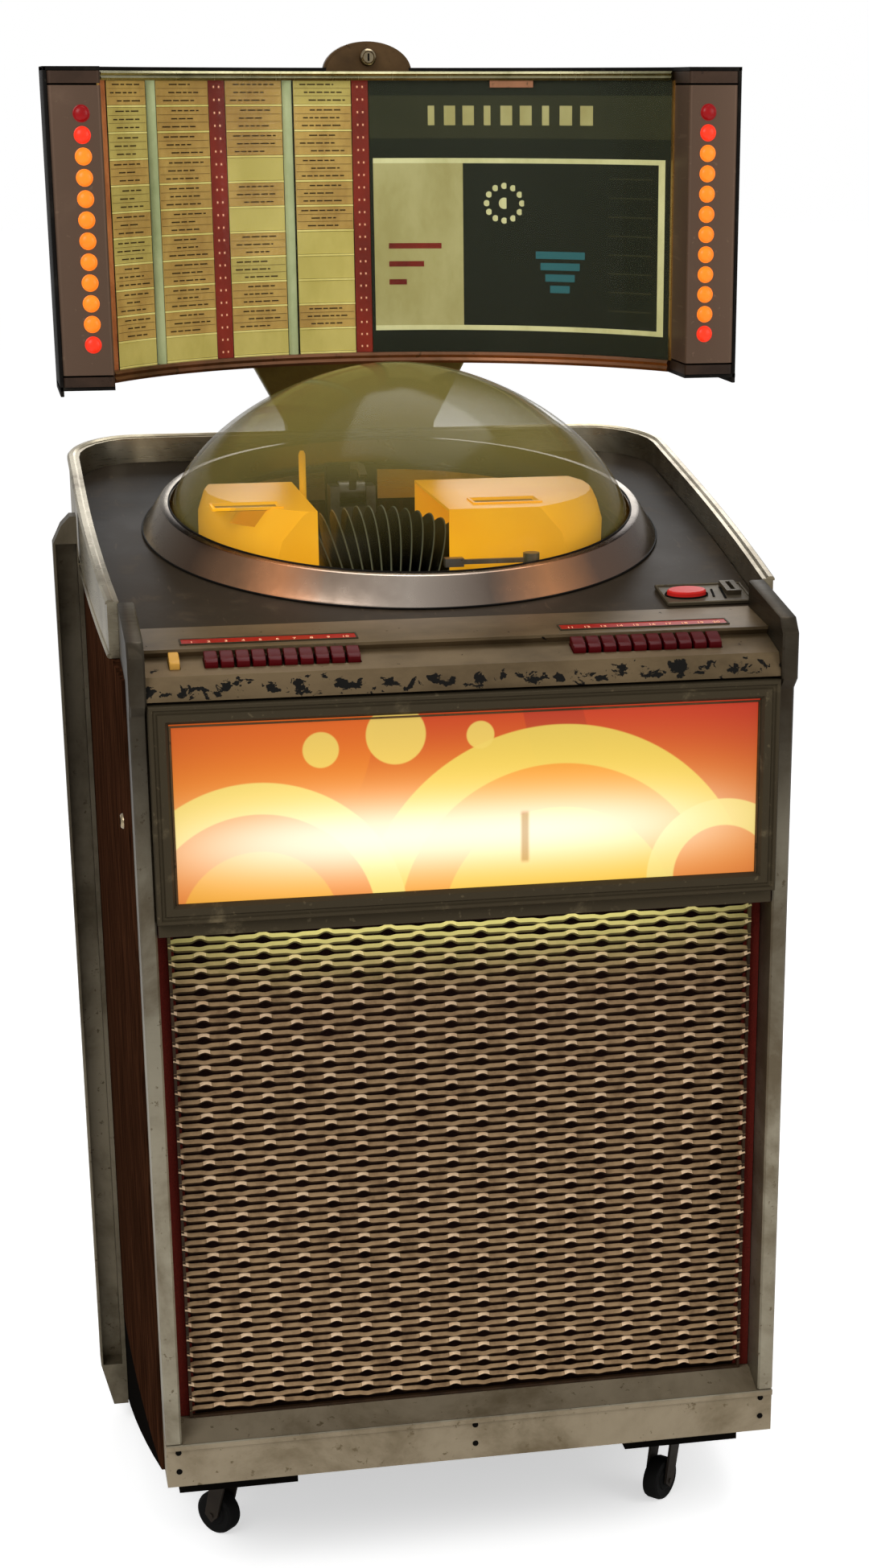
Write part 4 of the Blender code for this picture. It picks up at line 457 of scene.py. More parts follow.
MATERIALS = {
    "walnut": walnut(),
    # Post: painted shade darkens its upper part
    "post": worn_metal(
        "post_aluminium", (158, 150, 130), (110, 98, 78), 0.38, shade_runs=(("Z", 0.45, 0.80, 0.45), ("Z", 0.80, 0.97, 0.75))
    ),
    # Rim: painted shade darkens its front end
    "rim": worn_metal(
        "rim_aluminium", (186, 176, 152), (126, 112, 86), 0.26, (1, 1, 30), 0.95, 0.70, (("Y", -0.20, -0.34, 0.40),)
    ),
    "kick": worn_metal("kick_metal", (156, 142, 118), (112, 98, 74), 0.50, (3, 1, 1), 0.5),
    "keyboard": chipped_paint("keyboard_paint", (112, 94, 68), (76, 62, 42), (20, 18, 15), 1.000, 1.028),
    "coin": worn_metal("coin_metal", (92, 82, 64), (58, 50, 38), 0.38, (1, 30, 1), 0.6),
    "deck": rubbed("deck_paint", (48, 40, 31), (74, 62, 48), 0.40),
    "frame": rubbed("frame_pewter", (64, 56, 42), (104, 92, 70), 0.42, 0.4, 22, (0.58, 0.76)),
    "ring": ring_metal(),
    "taupe": rubbed("taupe_metal", (100, 80, 66), (124, 102, 84), 0.40, 0.5, 6, (0.55, 0.85)),
    "black": rubbed("black_paint", (20, 18, 16), (44, 40, 35), 0.45),
    "trim": worn_metal("title_trim", (168, 162, 128), (104, 100, 66), 0.22, (20, 1, 1), 1.0, 0.74),
    "bronze": worn_metal("bronze_plate", (98, 74, 46), (62, 46, 28), 0.42, (1, 1, 1), 0.6),
    "cap": worn_metal("cap_brown", (72, 54, 42), (44, 33, 26), 0.45, (1, 1, 1), 0.5),
    "copper": worn_metal("copper_trim", (150, 104, 76), (104, 78, 56), 0.30, (20, 1, 1), 0.9),
    "olive": worn_metal("olive_metal", (136, 120, 58), (100, 86, 40), 0.36, (1, 1, 30), 0.6),
    # Fin: painted shade darkens it upward
    "fin": worn_metal("fin_aluminium", (136, 126, 106), (90, 80, 62), 0.42, shade_runs=(("Z", 0.30, 0.90, 0.55),)),
    "zinc": worn_metal("zinc_plate", (142, 138, 128), (88, 82, 70), 0.34, (1, 1, 1), 0.9),
    "chrome": worn_metal("lock_chrome", (176, 160, 130), (110, 96, 72), 0.22, (1, 1, 1), 1.0, 0.75),
    # Cover glow: painted light for the strong light falling on the covers
    "yellow": plastic("cover_yellow", (240, 176, 34), (226, 150, 20), 0.30, 0.45),
    # Pale rim of each record: painted sheen on the vinyl's edge
    "record_edge_sheen": plastic("record_edge_sheen", (122, 126, 100), (70, 72, 56), 0.25),
    "record": plastic("record_black", (24, 24, 22), (12, 12, 11), 0.25),
    "label": card("record_label", (186, 176, 120), (140, 128, 80)),
    "rubber": plastic("black_rubber", (26, 25, 24), (14, 14, 13), 0.62),
    "key": plastic("key_maroon", (88, 8, 12), (56, 5, 8), 0.30),
    "amber": plastic("key_amber", (206, 160, 78), (178, 128, 50), 0.30, 0.06),
    "red": plastic("reject_red", (190, 40, 34), (160, 24, 22), 0.24, 0.20),
    "strip": plastic("strip_red", (150, 26, 18), (112, 14, 10), 0.30, 0.35),
    "strip_mark": plastic("strip_mark", (226, 176, 140), (206, 150, 110), 0.5, 0.5),
    "card_tan": card("card_tan", (182, 150, 78), (150, 116, 56)),
    "card_buff": card("card_buff", (180, 164, 88), (156, 136, 66)),
    "card_blank": card("card_blank", (188, 174, 96), (170, 156, 78)),
    "card_ridge": card("card_ridge", (220, 208, 128), (190, 176, 92)),
    "print": plastic("print_brown", (72, 50, 24), (50, 34, 16), 0.6, 0.05),
    "copper_strip": card("copper_strip", (176, 106, 56), (120, 58, 26)),
    "divider": card("divider", (164, 172, 128), (132, 142, 98)),
    "red_strip": card("red_strip", (128, 30, 16), (92, 16, 9)),
    "dark_print": plastic("dark_print", (30, 32, 24), (24, 25, 18), 0.5, 0.3),
    "dark_band": plastic("dark_band", (52, 52, 34), (38, 39, 26), 0.5, 0.3),
    "cream": card("cream_print", (168, 162, 108), (150, 142, 86)),
    "cream_edge": card("cream_edge", (206, 204, 150), (180, 178, 122)),
    "teal": plastic("teal_print", (50, 104, 106), (40, 88, 92), 0.4, 0.3),
    "lamp_dark": lamp_plastic("lamp_dark", (150, 12, 16), (110, 6, 8), 0.40),
    "lamp_red": lamp_plastic("lamp_red", (230, 56, 28), (218, 38, 22), 0.62),
    "lamp_orange": lamp_plastic("lamp_orange", (238, 128, 34), (228, 108, 26), 0.72),
    "art": lit_art(),
    # Grille paint: the lit upper slopes, a painted highlight on the arched nodes, and painted shade on the lower
    # slopes and border
    "grille": grille_metal("grille_metal", (168, 138, 102), (122, 96, 68), 1.0),
    "grille_node_highlight": grille_metal("grille_node_highlight", (246, 214, 176), (214, 176, 136), 1.0),
    "grille_shade": grille_metal("grille_shade", (58, 40, 24), (36, 24, 14), 0.12),
    # The speaker cloth is painted darker as painted shade behind the grille; the side cloth shows the same cloth lit
    "cloth": cloth("speaker_cloth_shaded", (50, 24, 16), (26, 12, 8)),
    "red_cloth": cloth("side_cloth", (112, 30, 18), (70, 16, 10)),
    "dome": clear_plastic(),
    "pane": clear_glass(),
    "tube": plastic("tube_white", (250, 246, 222), (250, 244, 210), 0.3, 1.0),
    "hardboard": rubbed("hardboard", (92, 68, 46), (112, 86, 60), 0.75, 0.0, 9),
    "iron": worn_metal("fork_iron", (52, 44, 36), (30, 25, 20), 0.5, (1, 1, 1), 0.5),
    # Painted shade for the dark inside of screw holes, slots, grooves, the keyway and the gap round the reject button
    "hole": rubbed("dark_hole", (12, 10, 8), (22, 18, 14), 0.8),
    "gilt": worn_metal("gilt_edge", (224, 178, 96), (176, 124, 56), 0.24, (1, 1, 1), 0.9),
    "smoke": plastic("smoke_window", (92, 84, 62), (66, 60, 44), 0.15, 0.08),
}

NODE_MATERIALS = {
    "cabinet_body": "walnut", "front_post_left": "post", "front_post_right": "post", "lid_rim": "rim",
    "kick_plate": "kick", "keyboard_housing": "keyboard", "coin_plate": "coin", "deck_panel": "deck",
    "side_fin_left": "fin", "side_fin_right": "fin", "rear_door": "hardboard", "cover_left": "yellow",
    "cover_right": "yellow", "mechanism_plate": "zinc", "display_glass": "art", "display_tube": "tube",
    "speaker_baffle": "cloth", "title_neck": "olive", "gripper_arm": "zinc", "tonearm": "zinc",
    "turntable": "rubber", "reject_button": "red",
}


def smooth_group():
    """Geometry nodes that weld a CAD mesh and shade it smooth up to the smoothing angle."""
    group = bpy.data.node_groups.new("smooth_shading", "GeometryNodeTree")
    group.interface.new_socket("Geometry", in_out="INPUT", socket_type="NodeSocketGeometry")
    group.interface.new_socket("Geometry", in_out="OUTPUT", socket_type="NodeSocketGeometry")
    nodes = group.nodes
    start = nodes.new("NodeGroupInput")
    weld = nodes.new("GeometryNodeMergeByDistance")
    weld.inputs["Distance"].default_value = HAIR / 40
    faces = nodes.new("GeometryNodeSetShadeSmooth")
    angle = nodes.new("GeometryNodeInputMeshEdgeAngle")
    compare = nodes.new("FunctionNodeCompare")
    compare.operation = "GREATER_THAN"
    compare.inputs[1].default_value = SMOOTH_ANGLE
    edges = nodes.new("GeometryNodeSetShadeSmooth")
    edges.domain = "EDGE"
    edges.inputs["Shade Smooth"].default_value = False
    end = nodes.new("NodeGroupOutput")
    link = group.links.new
    link(start.outputs[0], weld.inputs["Geometry"])
    link(weld.outputs[0], faces.inputs["Geometry"])
    link(faces.outputs[0], edges.inputs["Geometry"])
    link(angle.outputs["Unsigned Angle"], compare.inputs[0])
    link(compare.outputs[0], edges.inputs["Selection"])
    link(edges.outputs[0], end.inputs[0])
    return group


def finish_nodes():
    """Gives every CAD node its material and smooth shading."""
    group = smooth_group()
    fallback = {"fork": "iron", "wheel": "rubber", "key": "key"}
    for name, item in frame["nodes"].items():
        key = NODE_MATERIALS.get(name)
        if key is None:
            key = next((value for word, value in fallback.items() if word in name), "zinc")
        item.data.materials.clear()
        item.data.materials.append(MATERIALS[key])
        smooth = item.modifiers.new("smooth_shading", "NODES")
        smooth.node_group = group


def piece(work, name, material, body, matrix=UPRIGHT, angle=SMOOTH_ANGLE):
    """Turns a bmesh into a finished piece that rides on a body."""
    bmesh.ops.recalc_face_normals(work, faces=work.faces)
    work.transform(matrix)
    mesh = bpy.data.meshes.new(name)
    work.to_mesh(mesh)
    work.free()
    mesh.shade_smooth()
    mesh.set_sharp_from_angle(angle=angle)
    item = bpy.data.objects.new(name, mesh)
    bpy.context.scene.collection.objects.link(item)
    names = [material] if isinstance(material, str) else material
    for entry in names:
        mesh.materials.append(MATERIALS[entry])
    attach(item, body)
    return item


def block(work, low, high, edge=0, segments=2, index=0):
    """Box between two corners with rounded edges."""
    made = bmesh.ops.create_cube(work, size=1)["verts"]
    for vertex in made:
        for axis in range(3):
            vertex.co[axis] = low[axis] + (vertex.co[axis] + 0.5) * (high[axis] - low[axis])
    for face in {face for vertex in made for face in vertex.link_faces}:
        face.material_index = index
    if edge:
        edges = list({line for vertex in made for line in vertex.link_edges})
        bmesh.ops.bevel(work, geom=edges, offset=edge, segments=segments, affect="EDGES", profile=0.5)


def turned(work, profile, centre=(0, 0, 0), axis="Z", steps=ROUND_STEPS, index=0):
    """Solid turned from (radius, height) points about an axis; heights run along +axis."""
    turns = {
        "X": Matrix.Rotation(math.pi / 2, 4, "Y"),
        "Y": Matrix.Rotation(-math.pi / 2, 4, "X"),
        "Z": Matrix.Identity(4),
    }
    shift = Matrix.Translation(centre) @ turns[axis]
    rings = []
    for radius, height in profile:
        if radius == 0:
            rings.append([work.verts.new(shift @ Vector((0, 0, height)))])
            continue
        ring = []
        for step in range(steps):
            angle = 2 * math.pi * step / steps
            ring.append(work.verts.new(shift @ Vector((radius * math.cos(angle), radius * math.sin(angle), height))))
        rings.append(ring)
    pairs = list(zip(rings, rings[1:]))
    if len(rings[0]) > 1 and len(rings[-1]) > 1:
        pairs.append((rings[-1], rings[0]))
    for first, second in pairs:
        for step in range(steps):
            after = (step + 1) % steps
            if len(first) == 1:
                corners = [first[0], second[step], second[after]]
            elif len(second) == 1:
                corners = [first[step], second[0], first[after]]
            else:
                corners = [first[step], second[step], second[after], first[after]]
            work.faces.new(corners).material_index = index


def prism(work, outline, start, end, facing="Y", index=0):
    """Outline extruded from start to end. Facing Y takes (x, z), X takes (y, z) and Z takes (x, y)."""
    order = {"X": lambda a, b, c: (c, a, b), "Y": lambda a, b, c: (a, c, b), "Z": lambda a, b, c: (a, b, c)}[facing]
    near = [work.verts.new(order(a, b, start)) for a, b in outline]
    far = [work.verts.new(order(a, b, end)) for a, b in outline]
    count = len(outline)
    faces = [work.faces.new(near), work.faces.new(list(reversed(far)))]
    for i in range(count):
        after = (i + 1) % count
        faces.append(work.faces.new([near[i], far[i], far[after], near[after]]))
    for face in faces:
        face.material_index = index
    return faces


def sweep(work, path, section, closed=False, up=(0, 0, 1), index=0):
    """Section of (side, up) points carried along a path."""
    upward = Vector(up).normalized()
    points = [Vector(p) for p in path]
    count = len(points)
    rings = []
    for i, point in enumerate(points):
        before = points[i - 1] if (i or closed) else point
        after = points[(i + 1) % count] if (i < count - 1 or closed) else point
        along = (after - before).normalized()
        side = along.cross(upward).normalized()
        lift = side.cross(along).normalized()
        rings.append([work.verts.new(point + side * a + lift * b) for a, b in section])
    size = len(section)
    spans = list(zip(rings, rings[1:]))
    if closed:
        spans.append((rings[-1], rings[0]))
    for first, second in spans:
        for j in range(size):
            nxt = (j + 1) % size
            work.faces.new([first[j], second[j], second[nxt], first[nxt]]).material_index = index
    if not closed:
        work.faces.new(rings[0]).material_index = index
        work.faces.new(list(reversed(rings[-1]))).material_index = index


def round_section(radius, steps=10):
    """Circle of section points."""
    return [
        (radius * math.cos(2 * math.pi * i / steps), radius * math.sin(2 * math.pi * i / steps))
        for i in range(steps)
    ]


def moulding(work, low, high, section, plane="XZ", index=0):
    """Mitred frame: section points are (inset from the outer rectangle, depth)."""
    rings = []
    for inset, depth in section:
        a0, b0, a1, b1 = low[0] + inset, low[1] + inset, high[0] - inset, high[1] - inset
        corners = [(a0, b0), (a1, b0), (a1, b1), (a0, b1)]
        if plane == "XZ":
            ring = [work.verts.new((a, depth, b)) for a, b in corners]
        else:
            ring = [work.verts.new((a, b, depth)) for a, b in corners]
        rings.append(ring)
    count = len(rings)
    for i in range(count):
        first = rings[i]
        second = rings[(i + 1) % count]
        for j in range(4):
            nxt = (j + 1) % 4
            work.faces.new([first[j], second[j], second[nxt], first[nxt]]).material_index = index


def half_width(depth):
    """Half the cabinet's width at a depth."""
    share = max(0, (WIDEST_DEPTH - depth) / WIDEST_DEPTH)
    return FRONT_HALF_WIDTH + (WIDEST_HALF_WIDTH - FRONT_HALF_WIDTH) * (1 - share * share)


def side_path(outset, front, rise, sides=28, corner=16):
    """Path round the sides and back at a height given by rise(depth)."""
    straight = REAR_DEPTH - CORNER_RADIUS
    right = []
    for step in range(sides):
        depth = front + (straight - front) * step / sides
        right.append((half_width(depth) + outset, depth))
    for step in range(corner + 1):
        angle = math.pi / 2 * step / corner
        reach = CORNER_RADIUS + outset
        x = WIDEST_HALF_WIDTH - CORNER_RADIUS + reach * math.cos(angle)
        right.append((x, straight + reach * math.sin(angle)))
    whole = right + [(-x, depth) for x, depth in reversed(right)]
    return [(x, depth, rise(depth)) for x, depth in whole]


def deck_z(depth):
    """Height of the deck at a depth."""
    return DECK_FRONT_Z + depth * DECK_RISE


def parting_z(depth):
    """Height of the line between lid and cabinet."""
    return PARTING_FRONT_Z + (depth - RIM_FRONT_DEPTH) * PARTING_SLOPE


# Rim band
BEAD_RADIUS = 0.0026
TOP_BEAD_RADIUS = 0.0022
BRACKET_WIDTH = 0.004
BRACKET_LENGTH = 0.026


def rim():
    """Rolled beads on the rim's edges."""
    work = bmesh.new()
    top_rise = RIM_HEIGHT / math.cos(DECK_ANGLE)
    middle = RIM_OUTSET - RIM_WALL / 2 + RIM_OUTSET
    top = side_path(middle, RIM_FRONT_DEPTH, lambda depth: deck_z(depth) + top_rise)
    half = RIM_WALL / 2 - HAIR
    cap = [(-half, -TOP_BEAD_RADIUS), (half, -TOP_BEAD_RADIUS), (half, 0), (half / 2, TOP_BEAD_RADIUS),
           (-half / 2, TOP_BEAD_RADIUS), (-half, 0)]
    sweep(work, top, cap)
    low = side_path(RIM_OUTSET, RIM_FRONT_DEPTH, lambda depth: parting_z(depth) + BEAD_RADIUS)
    sweep(work, low, round_section(BEAD_RADIUS))
    piece(work, "rim_beads", "rim", "lid")


# Dome and its ring
DOME_DEPTH = 0.4294
DOME_V = DOME_DEPTH / math.cos(DECK_ANGLE)
RING_BOTTOM_RADIUS = 0.2867
RING_TOP_RADIUS = 0.2680
RING_HEIGHT = 0.0304
DOME_RADIUS = 0.2560
DOME_RISE = 0.165
DOME_WALL = 0.004
DOME_ROUNDNESS = 1.65
DOME_RINGS = 30
GASKET_RADIUS = 0.0016


def dome_points(inset, steps=DOME_RINGS):
    """Outer face of the dome from its crown down to its foot."""
    points = []
    for step in range(steps + 1):
        angle = math.pi / 2 * step / steps
        across = math.sin(angle) ** (2 / DOME_ROUNDNESS)
        up = max(0.0, math.cos(angle)) ** (2 / DOME_ROUNDNESS)
        points.append(((DOME_RADIUS - inset) * across, RING_HEIGHT / 2 + (DOME_RISE - inset) * up))
    return points + [(DOME_RADIUS - inset, HAIR)]


def dome():
    """Fine dome, its flared metal ring and the dark gaskets at the ring's foot and lip."""
    work = bmesh.new()
    turned(work, dome_points(0) + list(reversed(dome_points(DOME_WALL))), (0, DOME_V, 0))
    shell = piece(work, "dome_fine", "dome", "lid", ON_DECK)
    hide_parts("dome_shell")
    inner = DOME_RADIUS + HAIR
    lip = 0.0018
    profile = [
        (inner, HAIR), (inner, RING_HEIGHT - lip), (inner + lip, RING_HEIGHT),
        (RING_TOP_RADIUS - lip, RING_HEIGHT), (RING_TOP_RADIUS, RING_HEIGHT - lip / 2),
        (RING_BOTTOM_RADIUS - lip, 2 * lip), (RING_BOTTOM_RADIUS, lip), (RING_BOTTOM_RADIUS, HAIR),
    ]
    work = bmesh.new()
    turned(work, profile, (0, DOME_V, 0), steps=2 * ROUND_STEPS)
    ring = piece(work, "dome_ring_fine", "ring", "lid", ON_DECK)
    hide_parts("dome_ring")
    work = bmesh.new()
    for radius, height in ((RING_BOTTOM_RADIUS + HAIR, GASKET_RADIUS), (inner + lip / 2, RING_HEIGHT + HAIR)):
        loop = []
        for step in range(2 * ROUND_STEPS):
            angle = math.pi * step / ROUND_STEPS
            loop.append((radius * math.cos(angle), DOME_V + radius * math.sin(angle), height))
        sweep(work, loop, round_section(GASKET_RADIUS / 1.6, 6), closed=True)
    piece(work, "dome_gaskets", "black", "lid", ON_DECK)


# Title unit
TITLE_HALF_WIDTH = 0.370
TITLE_BOTTOM_Z = 1.2614
TITLE_TOP_Z = 1.5859
PILASTER_INNER_X = 0.312
PILASTER_FRONT = 0.372
PILASTER_REAR = 0.475
GLASS_END = 0.440
GLASS_MIDDLE = 0.606
TITLE_REAR = 0.765
TITLE_TRIM = 0.0135
CASE_WALL = 0.004
ARC_STEPS = 64
CARD_ROWS = 11
CARD_LIFT = 0.0006
TEXT_LINES = 3
LAMP_COUNT = 12
LAMP_X = 0.3330
LAMP_FIRST_Z = 1.3088
LAMP_LAST_Z = 1.5400
LAMP_RADIUS = 0.0080
LAMP_RISE = 0.0040
TAB_HALF_WIDTH = 0.050
TAB_RISE = 0.028
TAB_FRONT = 0.616
TAB_THICKNESS = 0.012


def arc_depth(x, end=GLASS_END, middle=GLASS_MIDDLE, end_x=PILASTER_INNER_X):
    """Depth on the arc through (end_x, end) and (0, middle)."""
    sagitta = middle - end
    radius = (end_x * end_x + sagitta * sagitta) / (2 * sagitta)
    return middle - radius + math.sqrt(max(0.0, radius * radius - x * x))


def arc(first_x, last_x, setback=0.0, steps=ARC_STEPS):
    """Points of the curved screen between two widths."""
    xs = [first_x + (last_x - first_x) * i / steps for i in range(steps + 1)]
    return [(x, arc_depth(x) + setback) for x in xs]


def curved_plate(work, first_x, last_x, low_z, high_z, front, thickness, index=0):
    """Plate bent to the screen's curve, with its face at a setback."""
    steps = max(2, int(abs(last_x - first_x) / 0.008))
    face = arc(first_x, last_x, front, steps)
    back = arc(first_x, last_x, front + thickness, steps)
    prism(work, face + list(reversed(back)), low_z, high_z, "Z", index)


def title_case():
    """Black outer case, taupe pilasters with dark caps, chrome trims and the bronze tab."""
    work = bmesh.new()
    back_radius = lambda x: arc_depth(x, PILASTER_REAR, TITLE_REAR, TITLE_HALF_WIDTH)
    xs = [TITLE_HALF_WIDTH - 2 * TITLE_HALF_WIDTH * i / ARC_STEPS for i in range(ARC_STEPS + 1)]
    back = [(x, back_radius(x)) for x in xs]
    front = arc(-PILASTER_INNER_X, PILASTER_INNER_X, 0.012)
    outline = back + [(-TITLE_HALF_WIDTH, PILASTER_FRONT + 0.002), (-PILASTER_INNER_X, PILASTER_FRONT + 0.002)]
    outline += front + [(PILASTER_INNER_X, PILASTER_FRONT + 0.002), (TITLE_HALF_WIDTH, PILASTER_FRONT + 0.002)]
    for low, high in ((TITLE_BOTTOM_Z, TITLE_BOTTOM_Z + CASE_WALL), (TITLE_TOP_Z - CASE_WALL, TITLE_TOP_Z)):
        prism(work, outline, low, high, "Z")
    inner_back = [(x * 0.985, back_radius(x) - CASE_WALL) for x in xs]
    shell = back + list(reversed(inner_back))
    prism(work, shell, TITLE_BOTTOM_Z + CASE_WALL, TITLE_TOP_Z - CASE_WALL, "Z")
    for side in (-1, 1):
        low = (min(side * (TITLE_HALF_WIDTH - CASE_WALL), side * TITLE_HALF_WIDTH), PILASTER_FRONT + 0.002,
               TITLE_BOTTOM_Z - 0.006)
        high = (max(side * (TITLE_HALF_WIDTH - CASE_WALL), side * TITLE_HALF_WIDTH), PILASTER_REAR + 0.006,
                TITLE_TOP_Z)
        block(work, low, high, EDGE)
    case = piece(work, "title_case", "black", "lid")
    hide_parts("title_housing")
    pilasters()
    trims()
    tab()


PILASTER_EDGE = 0.004
CAP_HEIGHT = 0.012
CAP_GROOVE = 0.002


def pilasters():
    """Tall taupe covers at both ends, their caps and cheeks."""
    work = bmesh.new()
    outer = TITLE_HALF_WIDTH - CASE_WALL
    low_z = TITLE_BOTTOM_Z + 0.004
    high_z = TITLE_TOP_Z - CASE_WALL - HAIR
    for side in (-1, 1):
        steps = 6
        plan = [(side * PILASTER_INNER_X, GLASS_END + 0.004)]
        for i in range(steps + 1):
            angle = math.pi / 2 * i / steps
            x = PILASTER_INNER_X + PILASTER_EDGE * (1 - math.cos(angle))
            plan.append((side * x, PILASTER_FRONT + PILASTER_EDGE * (1 - math.sin(angle))))
        for i in range(steps + 1):
            angle = math.pi / 2 * i / steps
            x = outer - PILASTER_EDGE * (1 - math.sin(angle))
            plan.append((side * x, PILASTER_FRONT + PILASTER_EDGE * (1 - math.cos(angle))))
        plan.append((side * outer, GLASS_END + 0.004))
        prism(work, plan, low_z + CAP_HEIGHT, high_z - CAP_HEIGHT - CAP_GROOVE, "Z", 0)
        for bottom, top in ((low_z, low_z + CAP_HEIGHT - CAP_GROOVE), (high_z - CAP_HEIGHT, high_z)):
            prism(work, plan, bottom, top, "Z", 1)
    piece(work, "title_pilasters", ["taupe", "cap"], "lid")
    work = bmesh.new()
    for side in (-1, 1):
        for shift, width in ((-0.0012, 0.0010), (0.0, 0.0012)):
            x = side * (PILASTER_INNER_X + shift)
            block(work, (x - width / 2, GLASS_END - 0.004, FIELD_LOW), (x + width / 2, GLASS_END + 0.003, FIELD_HIGH))
    piece(work, "pilaster_gilt", "gilt", "lid")
    lamps()


def lamps():
    """Two upright rows of lamp caps that stand out of the pilasters."""
    work = bmesh.new()
    profile = [(LAMP_RADIUS + 0.0008, 0.0006), (LAMP_RADIUS + 0.0008, 0)]
    for step in range(7):
        angle = math.pi / 2 * step / 6
        profile.append((LAMP_RADIUS * math.cos(angle) if step < 6 else 0, -LAMP_RISE * math.sin(angle) - 0.0003))
    for side in (-1, 1):
        for number in range(LAMP_COUNT):
            z = LAMP_LAST_Z + (LAMP_FIRST_Z - LAMP_LAST_Z) * number / (LAMP_COUNT - 1)
            index = 0 if number == 0 else 1 if number in (1, LAMP_COUNT - 1) else 2
            turned(work, profile, (side * LAMP_X, PILASTER_FRONT - 0.0002, z), "Y", 28, index)
    piece(work, "title_lamps", ["lamp_dark", "lamp_red", "lamp_orange"], "lid")


def trims():
    """Chrome strip along the top of the curved screen, a copper one along its foot, and the latch."""
    for name, material, z_low, z_high in (
        ("title_foot_trim", "copper", TITLE_BOTTOM_Z + 0.001, TITLE_BOTTOM_Z + TITLE_TRIM),
        ("title_top_trim", "trim", TITLE_TOP_Z - TITLE_TRIM, TITLE_TOP_Z - CASE_WALL),
    ):
        work = bmesh.new()
        middle = (z_low + z_high) / 2
        half = (z_high - z_low) / 2
        section = [(-0.002, -half), (0.004, -half), (0.006, -half * 0.5), (0.0045, 0), (0.006, half * 0.5),
                   (0.004, half), (-0.002, half)]
        path = [(x, depth, middle) for x, depth in arc(-PILASTER_INNER_X, PILASTER_INNER_X)]
        sweep(work, path, section)
        piece(work, name, material, "lid")
    work = bmesh.new()
    curved_plate(work, 0.1335, 0.1790, FIELD_HIGH - 0.0075, FIELD_HIGH + 0.0012, -0.0015, 0.004)
    piece(work, "title_latch", "copper", "lid")


def tab():
    """Half-round bronze tab over the middle of the screen, with its lock."""
    work = bmesh.new()
    for rise, width, front, rear in (
        (TAB_RISE, TAB_HALF_WIDTH, TAB_FRONT, TAB_FRONT + TAB_THICKNESS),
        (TAB_RISE - 0.003, TAB_HALF_WIDTH - 0.003, TAB_FRONT - 0.0012, TAB_FRONT),
    ):
        outline = []
        for step in range(41):
            angle = math.pi * step / 40
            outline.append((width * math.cos(angle), TITLE_TOP_Z - CASE_WALL + (rise + CASE_WALL) * math.sin(angle)))
        prism(work, outline, front, rear, "Y")
    piece(work, "title_tab", "bronze", "lid")
    lock("title_lock_fine", "title_lock", (0, TAB_FRONT - 0.0015, 1.597), "Y", 0.0095, "title_lock")


def lock(name, node, centre, axis, radius, body):
    """Round lock with a collar, a turned face and its keyway, a dark block of painted shade."""
    work = bmesh.new()
    sign = -1
    profile = [
        (0, 0.0), (radius, 0.0), (radius, sign * 0.006), (radius - 0.0012, sign * 0.0085),
        (radius * 0.72, sign * 0.0095), (radius * 0.66, sign * 0.0082), (radius * 0.60, sign * 0.0090),
        (0, sign * 0.0092),
    ]
    turned(work, profile, centre, axis, 40)
    slot_half = radius * 0.42
    thick = radius * 0.10
    if axis == "Y":
        low = (centre[0] - thick, centre[1] - 0.0098, centre[2] - slot_half)
        high = (centre[0] + thick, centre[1] - 0.0080, centre[2] + slot_half)
    else:
        low = (centre[0] - 0.0098, centre[1] - thick, centre[2] - slot_half)
        high = (centre[0] - 0.0080, centre[1] + thick, centre[2] + slot_half)
    # Keyway: a dark block of painted shade
    block(work, low, high, 0, 1, 1)
    made = piece(work, name, ["chrome", "hole"], body)
    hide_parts(node)


# Widths on the screen of the card columns, the dividers and the red strips
CARD_COLUMNS = ((-0.3015, -0.2575), (-0.2455, -0.1855), (-0.1655, -0.1005), (-0.0865, -0.0205))
DIVIDERS = ((-0.2565, -0.2465), (-0.0995, -0.0890))
RED_STRIPS = ((-0.3105, -0.3030), (-0.1850, -0.1665), (-0.0195, -0.0010))
BLANK_CARDS = {(2, 3), (2, 5), (3, 6), (3, 7), (3, 8), (0, 10), (1, 10), (2, 10), (3, 10)}
PALE_CARDS = {(3, 0), (2, 7), (0, 1), (0, 2), (0, 4), (0, 6)}
FIELD_LOW = TITLE_BOTTOM_Z + TITLE_TRIM
FIELD_HIGH = TITLE_TOP_Z - TITLE_TRIM
CARD_SETBACK = 0.0052


def title_cards():
    """Rows of title cards between their ridges, with lines of print too small to read."""
    work = bmesh.new()
    prints = bmesh.new()
    pitch = (FIELD_HIGH - FIELD_LOW) / CARD_ROWS
    ridge = 0.0022
    for column, (left, right) in enumerate(CARD_COLUMNS):
        for row in range(CARD_ROWS):
            top = FIELD_HIGH - row * pitch
            low = top - pitch + ridge
            index = 2 if (column, row) in BLANK_CARDS else 1 if (column, row) in PALE_CARDS else 0
            curved_plate(work, left, right, low, top - HAIR, CARD_SETBACK, 0.001, index)
            curved_plate(work, left, right, low - ridge, low - HAIR, CARD_SETBACK - 0.0015, 0.002, 3)
            if index != 2:
                card_print(prints, left, right, low, top)
    piece(work, "title_cards", ["card_tan", "card_buff", "card_blank", "card_ridge"], "lid")
    piece(prints, "title_print", "print", "lid")


